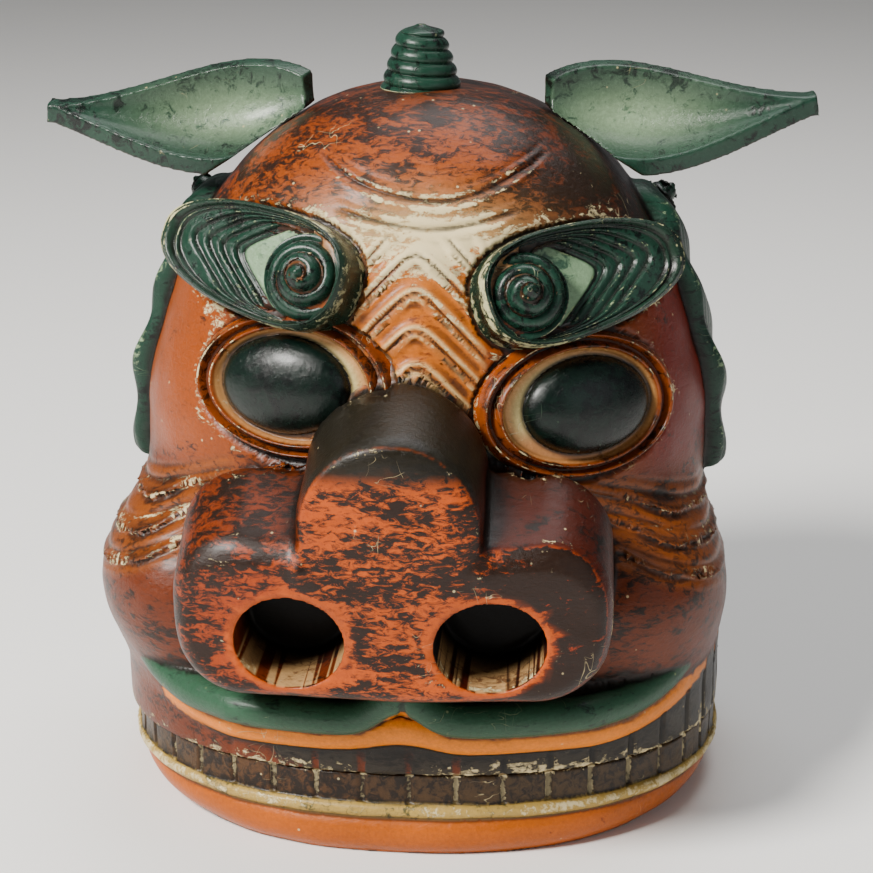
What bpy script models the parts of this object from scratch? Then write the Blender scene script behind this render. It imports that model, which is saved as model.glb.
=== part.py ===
"""A carved and lacquered wooden lion dance mask: hollow head, hinged lower jaw, ears and ringed crown knob.

Each carved skin is a smooth distance field. The field is written in carving units: one unit is a share of
the head's width, depth or height, and is one millimetre at the real size. A sphere is drawn in onto the
field, remeshed and thinned. Turned and shaped blocks are then joined on, and Booleans hollow and bore it.
Metres, +Z up. The face looks along -Y, and the flat underside of the jaw is at Z = 0.
"""

from math import cos, pi, radians, sin

import bmesh
import bpy
import numpy as np
from mathutils import Matrix, Vector

# Driving sizes of the head, in metres
HEAD_WIDTH = 0.304  # cheek to cheek
HEAD_DEPTH = 0.270  # nose tip to open back
HEAD_HEIGHT = 0.345  # jaw's underside to crown
WALL = 0.014  # carved wall of the head
MOUTH_LEVEL = 0.041  # the head's lower edge, where the closed teeth meet

# Clearances
FIT_GAP = 0.0003  # glued or pressed fits
TEETH_GAP = 0.0006  # between the closed rows of teeth
RUN_GAP = 0.0006  # the jaw's bore around the axle
SIDE_GAP = 0.0015  # the jaw's arms beside and below the head's walls

# Jaw and its pivot
AXLE_RADIUS = 0.008
AXLE_FROM_BACK = 0.047  # from the head's open back
AXLE_Y = HEAD_DEPTH / 2 - AXLE_FROM_BACK
AXLE_Z = 0.070
AXLE_RECESS = 0.0015  # the axle's ends lie this far inside the head's sides
ARM_THICKNESS = 0.014
ARM_END_RADIUS = 0.021
ARM_FRONT = 0.018  # where the arms start to rise, in Y
FLAT_DEPTH = 0.0015  # how deep the flats beside the arms are cut in the head's wall
JAW_WALL = 0.024
JAW_FLOOR = 0.012
JAW_FLOOR_END = 0.020  # the floor's rear edge, in Y
JAW_WALL_END = AXLE_Y - ARM_THICKNESS  # the full-width wall's rear end, in Y

# Crown knob
KNOB_RADIUS = 0.020
KNOB_HEIGHT = 0.030
KNOB_TIP_RADIUS = 0.006
KNOB_RINGS = 5
KNOB_TENON_RADIUS = 0.007
KNOB_TENON_LENGTH = 0.008
KNOB_X = -0.003
KNOB_Y = 0.034

# Ears
EAR_LENGTH = 0.133
EAR_WIDTH = 0.047
EAR_THICKNESS = 0.009
EAR_SCOOP = 0.012  # depth of the hollow face
EAR_SAG = 0.008
EAR_SEAT_X = 0.068
EAR_SEAT_Y = 0.044
EAR_SEAT_SHARE = 0.13  # how far along the ear its seat lies
EAR_SEAT_ACROSS = -0.25  # and how far below its middle, as a share of the half width
EAR_TENON_RADIUS = 0.0042
EAR_TENON_LENGTH = 0.010

# Carving units: each axis is a share of the head's own size
CARVED_WIDTH, CARVED_DEPTH, CARVED_HEIGHT = 304.0, 270.0, 345.0
UNIT = np.array([HEAD_WIDTH / CARVED_WIDTH, HEAD_DEPTH / CARVED_DEPTH, HEAD_HEIGHT / CARVED_HEIGHT])
MEAN_UNIT = float(UNIT.mean())
MIDDLE = np.array([0.0, 30.0, 0.0])  # from the carving's own zero, in the skull, to the model's
SKIN_VOXEL = 4.0
HOLLOW_VOXEL = 7.0
HEAD_TRIANGLES = 3900
JAW_TRIANGLES = 700
HOLLOW_TRIANGLES = 440

# Carved places in carving units, for the right side; the left side is its mirror
NOSE_FRONT = -165.0
BACK = 105.0
NOSE_SHIFT = -5.0  # the carver set the nose a little to the left
LIP_SHIFT = -3.5  # and the upper lip and cheeks with it
CHEEK_SHIFT = -4.5
EYE_PLACES = ((-1, -55.0, 222.0), (1, 77.0, 213.0))  # side, across and up: the carver set the left one higher
EYE_SINK = 3.0
EYE_STRETCH = (1.20, 0.82)
BROW_CENTRES = ((-1, (73.5, -80.0, 277.5)), (1, (77.0, -80.0, 271.5)))
BROW_ALONG = (0.856, 0.504, 0.150)
BROW_NORMAL = (0.45, -0.80, 0.38)
BROW_HALF_LENGTH = 51.0
BROW_HALF_HEIGHT = 27.0
BROW_TAPER = 0.30  # how much lower the outer end is than the inner one
BROW_ROOT = -40.0  # how far the brow's block runs back into the skull
SNAIL_ALONG = -31.0
SNAIL_NORMAL = (0.16, -0.90, 0.38)
SNAIL_RADIUS = 20.0
SNAIL_HEIGHT = 19.0
CURL_RADIUS = 15.0
CURL_HEIGHT = 15.0
CURLS = ((36.0, 284.0), (46.0, 240.0), (46.0, 196.0))  # each curl's depth and height
NOSTRIL_CENTRE = (44.5, 124.0)
NOSTRIL_RADII = (25.0, 21.5)
NOSTRIL_DEPTH = 46.0
LIP_LEVEL = 73.0
MOUTH_FRONT = 122.0  # reach of the horseshoe of teeth in front of the skull's middle
MOUTH_HALF = 150.0  # and half its width
MOUTH_POWER = 2.3  # how square the horseshoe is: 2 is an ellipse

MODEL = "lion_dance_mask"


def to_metres(p):
    return (np.asarray(p, float) + MIDDLE) * UNIT


def to_carving(p):
    return np.asarray(p, float) / UNIT - MIDDLE


def unit_vector(v):
    v = np.asarray(v, float)
    return v / np.linalg.norm(v)


def union(a, b, blend):
    """Smooth union of two distance fields."""
    h = np.clip(0.5 + 0.5 * (b - a) / blend, 0, 1)
    return b + (a - b) * h - blend * h * (1 - h)


def window(value, low, high, soft):
    """1 between low and high, falling to 0 over soft outside them."""
    rise = np.clip((value - low) / soft + 1, 0, 1)
    fall = np.clip((high - value) / soft + 1, 0, 1)
    return (rise * rise * (3 - 2 * rise)) * (fall * fall * (3 - 2 * fall))


def ellipsoid(p, centre, radii):
    q = p - np.asarray(centre, float)
    near = np.linalg.norm(q / radii, axis=1)
    steep = np.linalg.norm(q / np.square(radii), axis=1)
    return near * (near - 1) / np.maximum(steep, 1e-9)


def mirrored(p, shift=0.0):
    """The points with both sides folded onto the right one."""
    q = p.copy()
    q[:, 0] = np.abs(p[:, 0] - shift)
    return q


def shifted(p, shift):
    """The points as they lie from a middle that is shifted sideways."""
    return p - (shift, 0, 0)


def patch_axes(along, normal):
    """Unit vectors along, up and out of a carved patch."""
    along = unit_vector(along)
    normal = np.asarray(normal, float)
    normal = unit_vector(normal - along * (normal @ along))
    up = np.cross(normal, along)
    return along, up if up[2] > 0 else -up, normal


def rounded_extrusion(outline, depth, edge):
    """Field of an outline's distance carried back from depth = 0, with its rim rounded."""
    a = outline + edge
    b = depth + edge
    outside = np.hypot(np.maximum(a, 0), np.maximum(b, 0))
    return np.minimum(np.maximum(a, b), 0) + outside - edge


def skull(p):
    """The round head, longer behind its middle than in front, and widening downwards to the cheeks."""
    x, y, z = np.abs(p[:, 0]), p[:, 1], p[:, 2] - 190
    power = 2.15
    wide = (x / (130 + 7 * window(p[:, 2], -50, 190, 60))) ** power
    deep = np.where(y < 0, np.abs(y / 105) ** power, np.abs(y / 150) ** 2.6)
    tall = np.where(z > 0, np.abs(z / 154) ** power, np.abs(z / 520) ** power)
    return (np.maximum(wide + deep + tall, 1e-9) ** (1 / power) - 1) * 130


def mouth_plan(p, half=MOUTH_HALF):
    """Distance outside the horseshoe that the teeth and lips follow, seen from above."""
    x, y = np.abs(p[:, 0]), p[:, 1]
    taper = 1 - 0.13 * np.clip(y / BACK, 0, 1.2) ** 2.5
    size = (x / (half * taper)) ** MOUTH_POWER + (np.maximum(-y, 0) / MOUTH_FRONT) ** MOUTH_POWER
    return (np.maximum(size, 1e-9) ** (1 / MOUTH_POWER) - 1) * (MOUTH_HALF + MOUTH_FRONT) / 2


def muzzle(p):
    return rounded_extrusion(mouth_plan(shifted(p, LIP_SHIFT)) + 3, p[:, 2] - 122, 40.0)


def cheeks(p):
    return ellipsoid(mirrored(p, CHEEK_SHIFT), (102, -40, 114), (50, 64, 46))


def cheek_wrinkles(p):
    """Height of the curved folds that fan out beside the nose."""
    q = mirrored(p, CHEEK_SHIFT)
    across = (q[:, 1] + 118) * 0.62 + (q[:, 0] - 104) * 0.78
    rise = q[:, 2] - 88
    turn = np.arctan2(rise, across + 30)
    reach = np.hypot(rise, across)
    fold = np.cos(turn * 13 - reach * 0.04)
    here = window(reach, 34, 84, 16) * window(turn, 0.05, 1.1, 0.25) * window(q[:, 0], 104, 200, 10)
    return 2.0 * fold * here


def sideways(p):
    """0 round the front of the mouth, rising to 1 at its sides."""
    return np.clip((np.abs(p[:, 0]) - 85) / 60, 0, 1)


def lips(p):
    """The rounded upper lip, with its crease under the nose and its corners lifted."""
    plan = mouth_plan(shifted(p, LIP_SHIFT))
    x = p[:, 0] - NOSE_SHIFT / 2
    crease = np.exp(-np.square(x / 14.0))
    level = LIP_LEVEL + 15 * crease + 15 * window(p[:, 1], -35, 200, 75)
    out = 8 + 7 * crease - 17 * sideways(p)
    tube = np.hypot(plan - out, (p[:, 2] - level) * 1.1) - 9.0
    return np.maximum(tube, p[:, 1] - 20)


def tooth_grooves(p):
    """1 in the narrow groove between two teeth and 0 on them."""
    turn = np.arctan2(p[:, 0] / MOUTH_HALF, -p[:, 1] / MOUTH_FRONT + 0.35)
    phase = np.abs(np.mod(turn * 9, 1) - 0.5) * 2
    return np.clip((phase - 0.8) / 0.2, 0, 1) * window(p[:, 1], -200, 10, 10)


def gums(p):
    """The band above the upper teeth and the teeth themselves."""
    plan = mouth_plan(p)
    lift = 12 * window(p[:, 1], -35, 200, 75)
    inset = 7 + 9 * sideways(p)
    band = np.maximum(np.hypot((plan + inset) * 0.8, p[:, 2] - 60 - lift) - 11, p[:, 1] - 20)
    teeth = np.maximum(plan + 2 + 0.9 * tooth_grooves(p), p[:, 2] - 60 - lift)
    return union(band, teeth, 3.0)


def nose_outline(p):
    """Distance outside the three-lobed outline of the snout, seen from the front."""
    x = np.abs(p[:, 0] - NOSE_SHIFT)
    back = p[:, 1] - NOSE_FRONT
    upper = np.clip((p[:, 2] - 115) / 30, 0, 1)
    rise = upper * (0.5 * np.minimum(back, 50) - 0.8 * np.maximum(back - 50, 0))
    wing_x, wing_z = x - (98 - 33), np.abs(p[:, 2] - rise - 130.5) - (34.5 - 33)
    wings = np.hypot(np.maximum(wing_x, 0), np.maximum(wing_z, 0)) + np.minimum(np.maximum(wing_x, wing_z), 0)
    wings = wings - 33
    z = p[:, 2] - 0.55 * rise
    lobe = np.hypot(x, z - np.clip(z, 140, 176)) - 41
    return union(wings, lobe, 5.0)


def nose(p):
    x = p[:, 0] - NOSE_SHIFT
    front = NOSE_FRONT + 10 * np.square(x / 100)
    depth = np.maximum(front - p[:, 1], p[:, 1] + 60)
    return rounded_extrusion(nose_outline(p), depth, 9.0)


def bridge(p):
    """Height of the nose bridge between the brows, with its nested arches."""
    x = p[:, 0] - 2
    arch = p[:, 2] + np.square(x) / 36
    arches = 2.2 * np.cos((arch - 252) * 2 * pi / 16)
    body = 5 * np.exp(-np.square(x / 30))
    here = window(p[:, 2], 222, 278, 14) * window(p[:, 1], -200, -20, 20)
    return here * (body + arches * window(np.abs(x), -1, 20, 12))


def forehead_wrinkles(p):
    """Depth of the two pairs of crescent grooves in the forehead."""
    x = p[:, 0] - 6
    total = np.zeros(len(p))
    for level, half, bend in ((304.0, 42.0, 0.0062), (293.0, 32.0, 0.0035)):
        off = p[:, 2] - level - np.square(x) * bend
        groove = np.exp(-np.square(off / 2.4)) + np.exp(-np.square((off - 6) / 2.4))
        total += 1.5 * groove * window(np.abs(x), -1, half, 10)
    return total * window(p[:, 1], -200, 0, 20)


def mane(p):
    """The raised lock of mane down each side behind the face, cut off flat below."""
    y, z = p[:, 1], p[:, 2]
    middle = 14 + 0.0012 * np.square(z - 225)
    strip = np.hypot(y - middle, np.maximum(z - 272, 0)) - 24
    wave = 1.6 * np.sin(z * 0.16 + y * 0.09)
    return rounded_extrusion(np.maximum(strip, 157 - z), skull(p) - 9 - wave, 6.0)


def plain_face(p):
    return union(skull(p), muzzle(p), 26)


def head_field(p):
    body = plain_face(p)
    body = union(body, cheeks(p), 22) - cheek_wrinkles(p) + forehead_wrinkles(p) - bridge(p)
    body = union(body, mane(p), 2)
    body = union(body, gums(p), 3)
    body = union(body, lips(p), 2)
    return union(body, nose(p), 4)


def hollow_field(p):
    """The inside of the head: the plain skull and muzzle, less the wall, run out through back and bottom."""
    q = p.copy()
    q[:, 1] = np.minimum(p[:, 1], BACK - 12)
    q[:, 2] = np.maximum(p[:, 2], 66)
    inside = plain_face(q) + WALL / MEAN_UNIT
    return np.maximum(inside, np.maximum(p[:, 1] - BACK - 25, -10 - p[:, 2]))


def jaw_field(p):
    """The jaw's outside: rounded lower lip, narrow ridge, and the teeth standing on them."""
    plan = mouth_plan(p, half=MOUTH_HALF - 17 * np.clip((26 - p[:, 2]) / 26, 0, 1.2))
    lip = np.hypot(plan + 9, p[:, 2] - 10.5) - 11.5
    ridge = np.hypot(plan + 3, p[:, 2] - 22) - 3.5
    teeth = plan + 3 + 0.9 * tooth_grooves(p)
    return union(union(teeth, lip, 2), ridge, 1.5)


def capped(field, low, high):
    """The field cut off above and below, and behind the head's back."""
    def cut(p):
        return np.maximum(field(p), np.maximum(np.maximum(low - p[:, 2], p[:, 2] - high), p[:, 1] - BACK - 20))
    return cut


def slope_of(field, p, step=0.3):
    """The field's value at the points and its gradient."""
    here = field(p)
    slope = np.empty_like(p)
    for axis in range(3):
        moved = p.copy()
        moved[:, axis] += step
        slope[:, axis] = (field(moved) - here) / step
    return here, slope


def settle(p, field, rounds):
    """Moves the points onto the field's surface along its gradient."""
    for _ in range(rounds):
        here, slope = slope_of(field, p)
        steep = np.maximum(np.square(slope).sum(axis=1), 0.09)
        p = p - slope * np.clip(here / steep, -4, 4)[:, None]
    return p


def drawn_in(p, field, centre, rounds=60):
    """Draws the points of a large sphere straight in towards its centre until they touch the field."""
    ray = centre - p
    length = np.linalg.norm(ray, axis=1)
    ray /= length[:, None]
    gone = np.zeros(len(p))
    for _ in range(rounds):
        gone = np.minimum(gone + 0.75 * np.maximum(field(p + ray * gone[:, None]), 0), length - 1)
    return p + ray * gone[:, None]


def points_of(mesh):
    flat = np.empty(len(mesh.vertices) * 3, np.float32)
    mesh.vertices.foreach_get("co", flat)
    return flat.reshape(-1, 3).astype(np.float64)


def set_points(mesh, p):
    mesh.vertices.foreach_set("co", np.asarray(p, np.float32).ravel())
    mesh.update()


def bake(obj):
    """Replaces an object's mesh by its evaluated one, and clears its modifiers."""
    bpy.context.view_layer.update()
    graph = bpy.context.evaluated_depsgraph_get()
    mesh = bpy.data.meshes.new_from_object(obj.evaluated_get(graph))
    old = obj.data
    obj.modifiers.clear()
    obj.data = mesh
    bpy.data.meshes.remove(old)


def new_collection(name):
    collection = bpy.data.collections.new(name)
    bpy.context.scene.collection.children.link(collection)
    return collection


def placed(obj, name, collection):
    """Names an object and moves it into its collection."""
    obj.name = obj.data.name = name
    for other in list(obj.users_collection):
        other.objects.unlink(obj)
    collection.objects.link(obj)
    return obj


def carved(name, field, centre, voxel, triangles, collection):
    """A closed skin on the field's surface, thinned to about the given number of triangles."""
    bpy.ops.mesh.primitive_ico_sphere_add(subdivisions=5, radius=1)
    obj = placed(bpy.context.object, name, collection)
    centre = np.asarray(centre, float)
    set_points(obj.data, drawn_in(points_of(obj.data) * 330 + centre, field, centre))
    for size, rounds in ((voxel * 1.5, 4), (voxel, 4)):
        remesh = obj.modifiers.new("Even skin", "REMESH")
        remesh.mode = "VOXEL"
        remesh.voxel_size = size
        bake(obj)
        set_points(obj.data, settle(points_of(obj.data), field, rounds))
    set_points(obj.data, to_metres(points_of(obj.data)))
    thin = obj.modifiers.new("Thin", "DECIMATE")
    thin.ratio = min(1.0, triangles / (2 * len(obj.data.polygons)))
    bake(obj)
    return obj


def box(name, low, high, collection):
    bpy.ops.mesh.primitive_cube_add(size=1)
    obj = placed(bpy.context.object, name, collection)
    low, high = Vector(low), Vector(high)
    obj.data.transform(Matrix.Translation((low + high) / 2) @ Matrix.Diagonal((high - low).to_4d()))
    return obj


def cylinder(name, radius, start, end, collection, sides=24):
    start, end = Vector(start), Vector(end)
    bpy.ops.mesh.primitive_cylinder_add(vertices=sides, radius=radius, depth=(end - start).length)
    obj = placed(bpy.context.object, name, collection)
    turn = Vector((0, 0, 1)).rotation_difference(end - start).to_matrix().to_4x4()
    obj.data.transform(Matrix.Translation((start + end) / 2) @ turn)
    return obj


def turned(name, profile, sides, collection):
    """A closed solid turned about Z from (radius, height) points that run down its outer side."""
    mesh = bpy.data.meshes.new(name)
    points = [(0, 0, profile[0][1])] + [(r, 0, z) for r, z in profile] + [(0, 0, profile[-1][1])]
    mesh.from_pydata(points, [(i, i + 1) for i in range(len(points) - 1)], [])
    obj = bpy.data.objects.new(name, mesh)
    collection.objects.link(obj)
    screw = obj.modifiers.new("Turn", "SCREW")
    screw.steps = screw.render_steps = sides
    screw.use_merge_vertices = True
    screw.merge_threshold = 0.00001
    bake(obj)
    return obj


def plate(name, outline, thickness, collection):
    """A flat plate: an outline of (y, z) points, standing across X and centred on X = 0."""
    curve = bpy.data.curves.new(name, "CURVE")
    curve.dimensions = "2D"
    curve.fill_mode = "BOTH"
    curve.extrude = thickness / 2
    spline = curve.splines.new("POLY")
    spline.points.add(len(outline) - 1)
    for point, (y, z) in zip(spline.points, outline):
        point.co = (y, z, 0, 1)
    spline.use_cyclic_u = True
    flat = bpy.data.objects.new(name, curve)
    collection.objects.link(flat)
    bpy.context.view_layer.update()
    mesh = bpy.data.meshes.new_from_object(flat.evaluated_get(bpy.context.evaluated_depsgraph_get()))
    bpy.data.objects.remove(flat)
    bm = bmesh.new()
    bm.from_mesh(mesh)
    bmesh.ops.remove_doubles(bm, verts=bm.verts, dist=1e-6)
    bmesh.ops.recalc_face_normals(bm, faces=bm.faces)
    bm.to_mesh(mesh)
    bm.free()
    stand = Matrix(((0, 0, 1, 0), (1, 0, 0, 0), (0, 1, 0, 0), (0, 0, 0, 1)))
    mesh.transform(stand)
    obj = bpy.data.objects.new(name, mesh)
    collection.objects.link(obj)
    return obj


def combine(obj, helpers, operation):
    """Joins or cuts an object with all the helpers of a collection."""
    modifier = obj.modifiers.new(helpers.name, "BOOLEAN")
    modifier.operation = operation
    modifier.operand_type = "COLLECTION"
    modifier.collection = helpers
    modifier.solver = "EXACT"
    for helper in helpers.objects:
        helper.hide_render = True
        helper.display_type = "WIRE"
    bake(obj)


def paint(obj, name, colour, roughness):
    material = bpy.data.materials.get(name) or bpy.data.materials.new(name)
    material.use_nodes = True
    shader = material.node_tree.nodes["Principled BSDF"]
    shader.inputs["Base Color"].default_value = (*colour, 1)
    shader.inputs["Roughness"].default_value = roughness
    shader.inputs["Metallic"].default_value = 0
    obj.data.materials.clear()
    obj.data.materials.append(material)


def surface_hit(start, direction, field=head_field):
    """The point, in metres, where a straight line from outside meets a carved field, and the normal there."""
    p = to_carving(start)[None]
    ray = unit_vector(np.asarray(direction, float) / UNIT)
    step = 1.0
    while step > 0.01:
        step = 0.7 * float(field(p)[0])
        p = p + ray * step
    _, slope = slope_of(field, p)
    return Vector(to_metres(p)[0]), Vector(unit_vector(slope[0] / UNIT))


def head_side(y, z):
    """Half the head's width, measured at a depth and a height."""
    return surface_hit((0.4, y, z), (-1, 0, 0))[0].x


def arm_flat():
    """Distance from the middle to the flats that the jaw's arms run beside."""
    return head_side(AXLE_Y + ARM_END_RADIUS, AXLE_Z) - WALL + FLAT_DEPTH


def patch_matrix(origin, along, normal, side):
    """Matrix from a patch's own (along, up, out) axes to metres, on the right (1) or left (-1) side."""
    columns = [np.array(axis) for axis in (*patch_axes(along, normal), origin)]
    for column in columns:
        column[0] *= side
    columns[3] = columns[3] + MIDDLE
    matrix = Matrix.Identity(4)
    for index, column in enumerate(columns):
        for row in range(3):
            matrix[row][index] = column[row] * UNIT[row]
    return matrix


def set_in_patch(obj, matrix):
    obj.data.transform(matrix)
    if matrix.determinant() < 0:
        obj.data.flip_normals()
    return obj


def ringed_profile(radius, height, tip, rings):
    """Stepped outer profile of a snail curl, from its tip down: each ring ends in a groove."""
    ring_height = height / rings
    ring_step = (radius - tip) / rings
    profile = [(tip * 0.6, height)]
    for ring in range(rings):
        outer = tip + ring_step * (ring + 1)
        top = height - ring_height * ring
        profile += [(outer, top - ring_height * 0.35), (outer - ring_step * 0.4, top - ring_height)]
    return profile


def brow_taper(along):
    """A brow's height at a place along it, as a share of its inner end's."""
    share = np.clip((along / BROW_HALF_LENGTH + 1) / 2, 0, 1)
    return 1 - BROW_TAPER * share * share


def brow_block(side, centre, collection):
    """One brow: a turned, terraced disc drawn out to a rounded leaf, running back into the skull."""
    terraces = ((0.30, -4.4), (0.48, -5.4), (0.52, -2.4), (0.66, -3.2), (0.70, 0.4), (0.82, -0.4), (0.86, 3.2))
    rim = ((0.97, 2.6), (1.0, -3.0), (1.0, BROW_ROOT))
    block = turned("brow", terraces + rim, 24, collection)
    p = points_of(block.data)
    turn = np.arctan2(p[:, 1], p[:, 0])
    reach = np.hypot(p[:, 0], p[:, 1])
    power = 2.7
    stretch = (np.abs(np.cos(turn)) ** power + np.abs(np.sin(turn)) ** power) ** (-1 / power)
    pull = 0.12 * (1 - reach) * BROW_HALF_LENGTH
    p[:, 0] = reach * stretch * np.cos(turn) * BROW_HALF_LENGTH - pull
    p[:, 1] = reach * stretch * np.sin(turn) * BROW_HALF_HEIGHT * brow_taper(p[:, 0])
    set_points(block.data, p)
    return set_in_patch(block, patch_matrix(centre, BROW_ALONG, BROW_NORMAL, side))


def snail_block(side, centre, collection):
    """The snail curl at a brow's inner end, facing nearly straight ahead."""
    profile = ringed_profile(SNAIL_RADIUS, SNAIL_HEIGHT, 3.0, 5) + [(SNAIL_RADIUS, -14.0)]
    snail = turned("snail", profile, 14, collection)
    foot = np.array(centre) + unit_vector(BROW_ALONG) * SNAIL_ALONG
    level = (-SNAIL_NORMAL[1], SNAIL_NORMAL[0], 0)
    return set_in_patch(snail, patch_matrix(foot, level, SNAIL_NORMAL, side))


def eye_block(side, across, up, collection):
    """An eye: its ball, the hollow around it and two raised rims, turned in one and stretched sideways."""
    ball = ((9.0, 9.4), (18.0, 6.6), (26.0, 0.6))
    rims = ((31.0, 0.0), (33.5, 4.2), (36.5, 1.6), (39.5, 2.8), (42.0, -1.5), (42.0, -30.0))
    eye = turned("eye", ((0.01, 10.0),) + ball + rims, 20, collection)
    eye.data.transform(Matrix.Diagonal((*EYE_STRETCH, 1, 1)))
    front, normal = surface_hit(to_metres((across, -400, up)), (0, 1, 0), plain_face)
    normal = np.array(normal) * (side, 1, 1)
    origin = (to_carving(front) * (side, 1, 1)) - normal * EYE_SINK
    along = (-normal[1], normal[0], 0)
    return set_in_patch(eye, patch_matrix(origin, along, normal, side))


def curl_block(side, depth, height, collection):
    """One snail curl of the side mane, standing square to the head's surface."""
    start = to_metres((side * 400, depth, height))
    foot, normal = surface_hit(start, (-side, 0, 0))
    profile = ringed_profile(CURL_RADIUS, CURL_HEIGHT, 2.5, 2) + [(CURL_RADIUS, -14.0)]
    curl = turned("curl", profile, 10, collection)
    curl.data.transform(Matrix.Scale(MEAN_UNIT, 4))
    turn = Vector((0, 0, 1)).rotation_difference(normal).to_matrix().to_4x4()
    curl.data.transform(Matrix.Translation(foot - normal * 5 * MEAN_UNIT) @ turn)
    return curl


def nostril(side, collection):
    """A deep oval pit in the front of the nose, with a wall left between it and the hollow."""
    start, end = NOSE_FRONT - 15, NOSE_FRONT + NOSTRIL_DEPTH
    hole = cylinder("nostril", 1.0, (0, -0.5, 0), (0, 0.5, 0), collection, sides=26)
    size = Vector((NOSTRIL_RADII[0] * UNIT[0], (end - start) * UNIT[1], NOSTRIL_RADII[1] * UNIT[2]))
    x = NOSE_SHIFT + side * NOSTRIL_CENTRE[0]
    place = Vector(to_metres((x, (start + end) / 2, NOSTRIL_CENTRE[1])))
    hole.data.transform(Matrix.Translation(place) @ Matrix.Diagonal(size.to_4d()))
    return hole


def ear_seat(side):
    """Where an ear meets the head: a point just outside the skull and the skull's normal there."""
    foot, normal = surface_hit((side * EAR_SEAT_X, EAR_SEAT_Y, 0.6), (0, 0, -1))
    return foot + normal * FIT_GAP, normal


def knob_seat():
    """The middle of the flat that the crown knob stands on."""
    top = surface_hit((KNOB_X, KNOB_Y, 0.6), (0, 0, -1))[0].z
    rims = [surface_hit((KNOB_X + KNOB_RADIUS * cos(t), KNOB_Y + KNOB_RADIUS * sin(t), 0.6), (0, 0, -1))[0].z
            for t in (0, pi / 2, pi, 3 * pi / 2)]
    return Vector((KNOB_X, KNOB_Y, min(rims + [top])))


def build_head(model):
    """The head: its carved skin, with brows, rims and curls joined on, hollowed and bored."""
    head = carved("head", head_field, (0, 20, 170), SKIN_VOXEL, HEAD_TRIANGLES, model)
    joined = new_collection("joined_to_head")
    for side, centre in BROW_CENTRES:
        brow_block(side, centre, joined)
        snail_block(side, centre, joined)
    for side, across, up in EYE_PLACES:
        eye_block(side, across, up, joined)
    for side in (-1, 1):
        for depth, height in CURLS:
            curl_block(side, depth, height, joined)
    combine(head, joined, "UNION")

    cuts = new_collection("cut_from_head")
    carved("hollow", hollow_field, (0, 60, 150), HOLLOW_VOXEL, HOLLOW_TRIANGLES, cuts)
    far = 1.0
    back = HEAD_DEPTH / 2
    box("below_mouth", (-far, -far, -far), (far, far, MOUTH_LEVEL), cuts)
    box("behind_back", (-far, back, -far), (far, far, far), cuts)
    flat = arm_flat()
    reach = ARM_END_RADIUS + SIDE_GAP
    box("arm_flats", (-flat, ARM_FRONT - SIDE_GAP, 0), (flat, AXLE_Y + reach, AXLE_Z + reach), cuts)
    cylinder("axle_bore", AXLE_RADIUS + FIT_GAP, (-far / 4, AXLE_Y, AXLE_Z), (far / 4, AXLE_Y, AXLE_Z), cuts)
    for side in (-1, 1):
        nostril(side, cuts)
        foot, normal = ear_seat(side)
        cylinder("ear_socket", EAR_TENON_RADIUS + FIT_GAP, foot + normal * WALL,
                 foot - normal * (EAR_TENON_LENGTH + 2 * FIT_GAP), cuts, sides=16)
    seat = knob_seat()
    up = Vector((0, 0, 1))
    cylinder("knob_seat", KNOB_RADIUS + FIT_GAP, seat, seat + up * WALL, cuts, sides=28)
    cylinder("knob_socket", KNOB_TENON_RADIUS + FIT_GAP, seat + up * WALL,
             seat - up * (KNOB_TENON_LENGTH + FIT_GAP), cuts, sides=16)
    combine(head, cuts, "DIFFERENCE")
    paint(head, "red_lacquer", (0.34, 0.07, 0.02), 0.45)
    return head


def arm_outline():
    """Side view of an arm: it rises from the tray to a round end about the axle."""
    round_end = [(AXLE_Y + ARM_END_RADIUS * cos(radians(t)), AXLE_Z + ARM_END_RADIUS * sin(radians(t)))
                 for t in range(-60, 136, 13)]
    foot = [(ARM_FRONT, MOUTH_LEVEL - TEETH_GAP), (ARM_FRONT, JAW_FLOOR / 2), (JAW_WALL_END, JAW_FLOOR / 2)]
    return round_end + foot


def pocket_outline(half, back, steps=10):
    """Plan of the jaw's pocket: a horseshoe, straight behind."""
    middle = float(to_metres((0, 0, 0))[1])
    front = MOUTH_FRONT * float(UNIT[1]) - JAW_WALL
    points = []
    for step in range(2 * steps + 1):
        turn = pi * step / (2 * steps)
        x = -cos(turn)
        side = half * abs(x) ** (2 / MOUTH_POWER) * (1 if x > 0 else -1)
        points.append((side, middle - front * sin(turn) ** (2 / MOUTH_POWER)))
    return points + [(half, back), (-half, back)]


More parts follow.
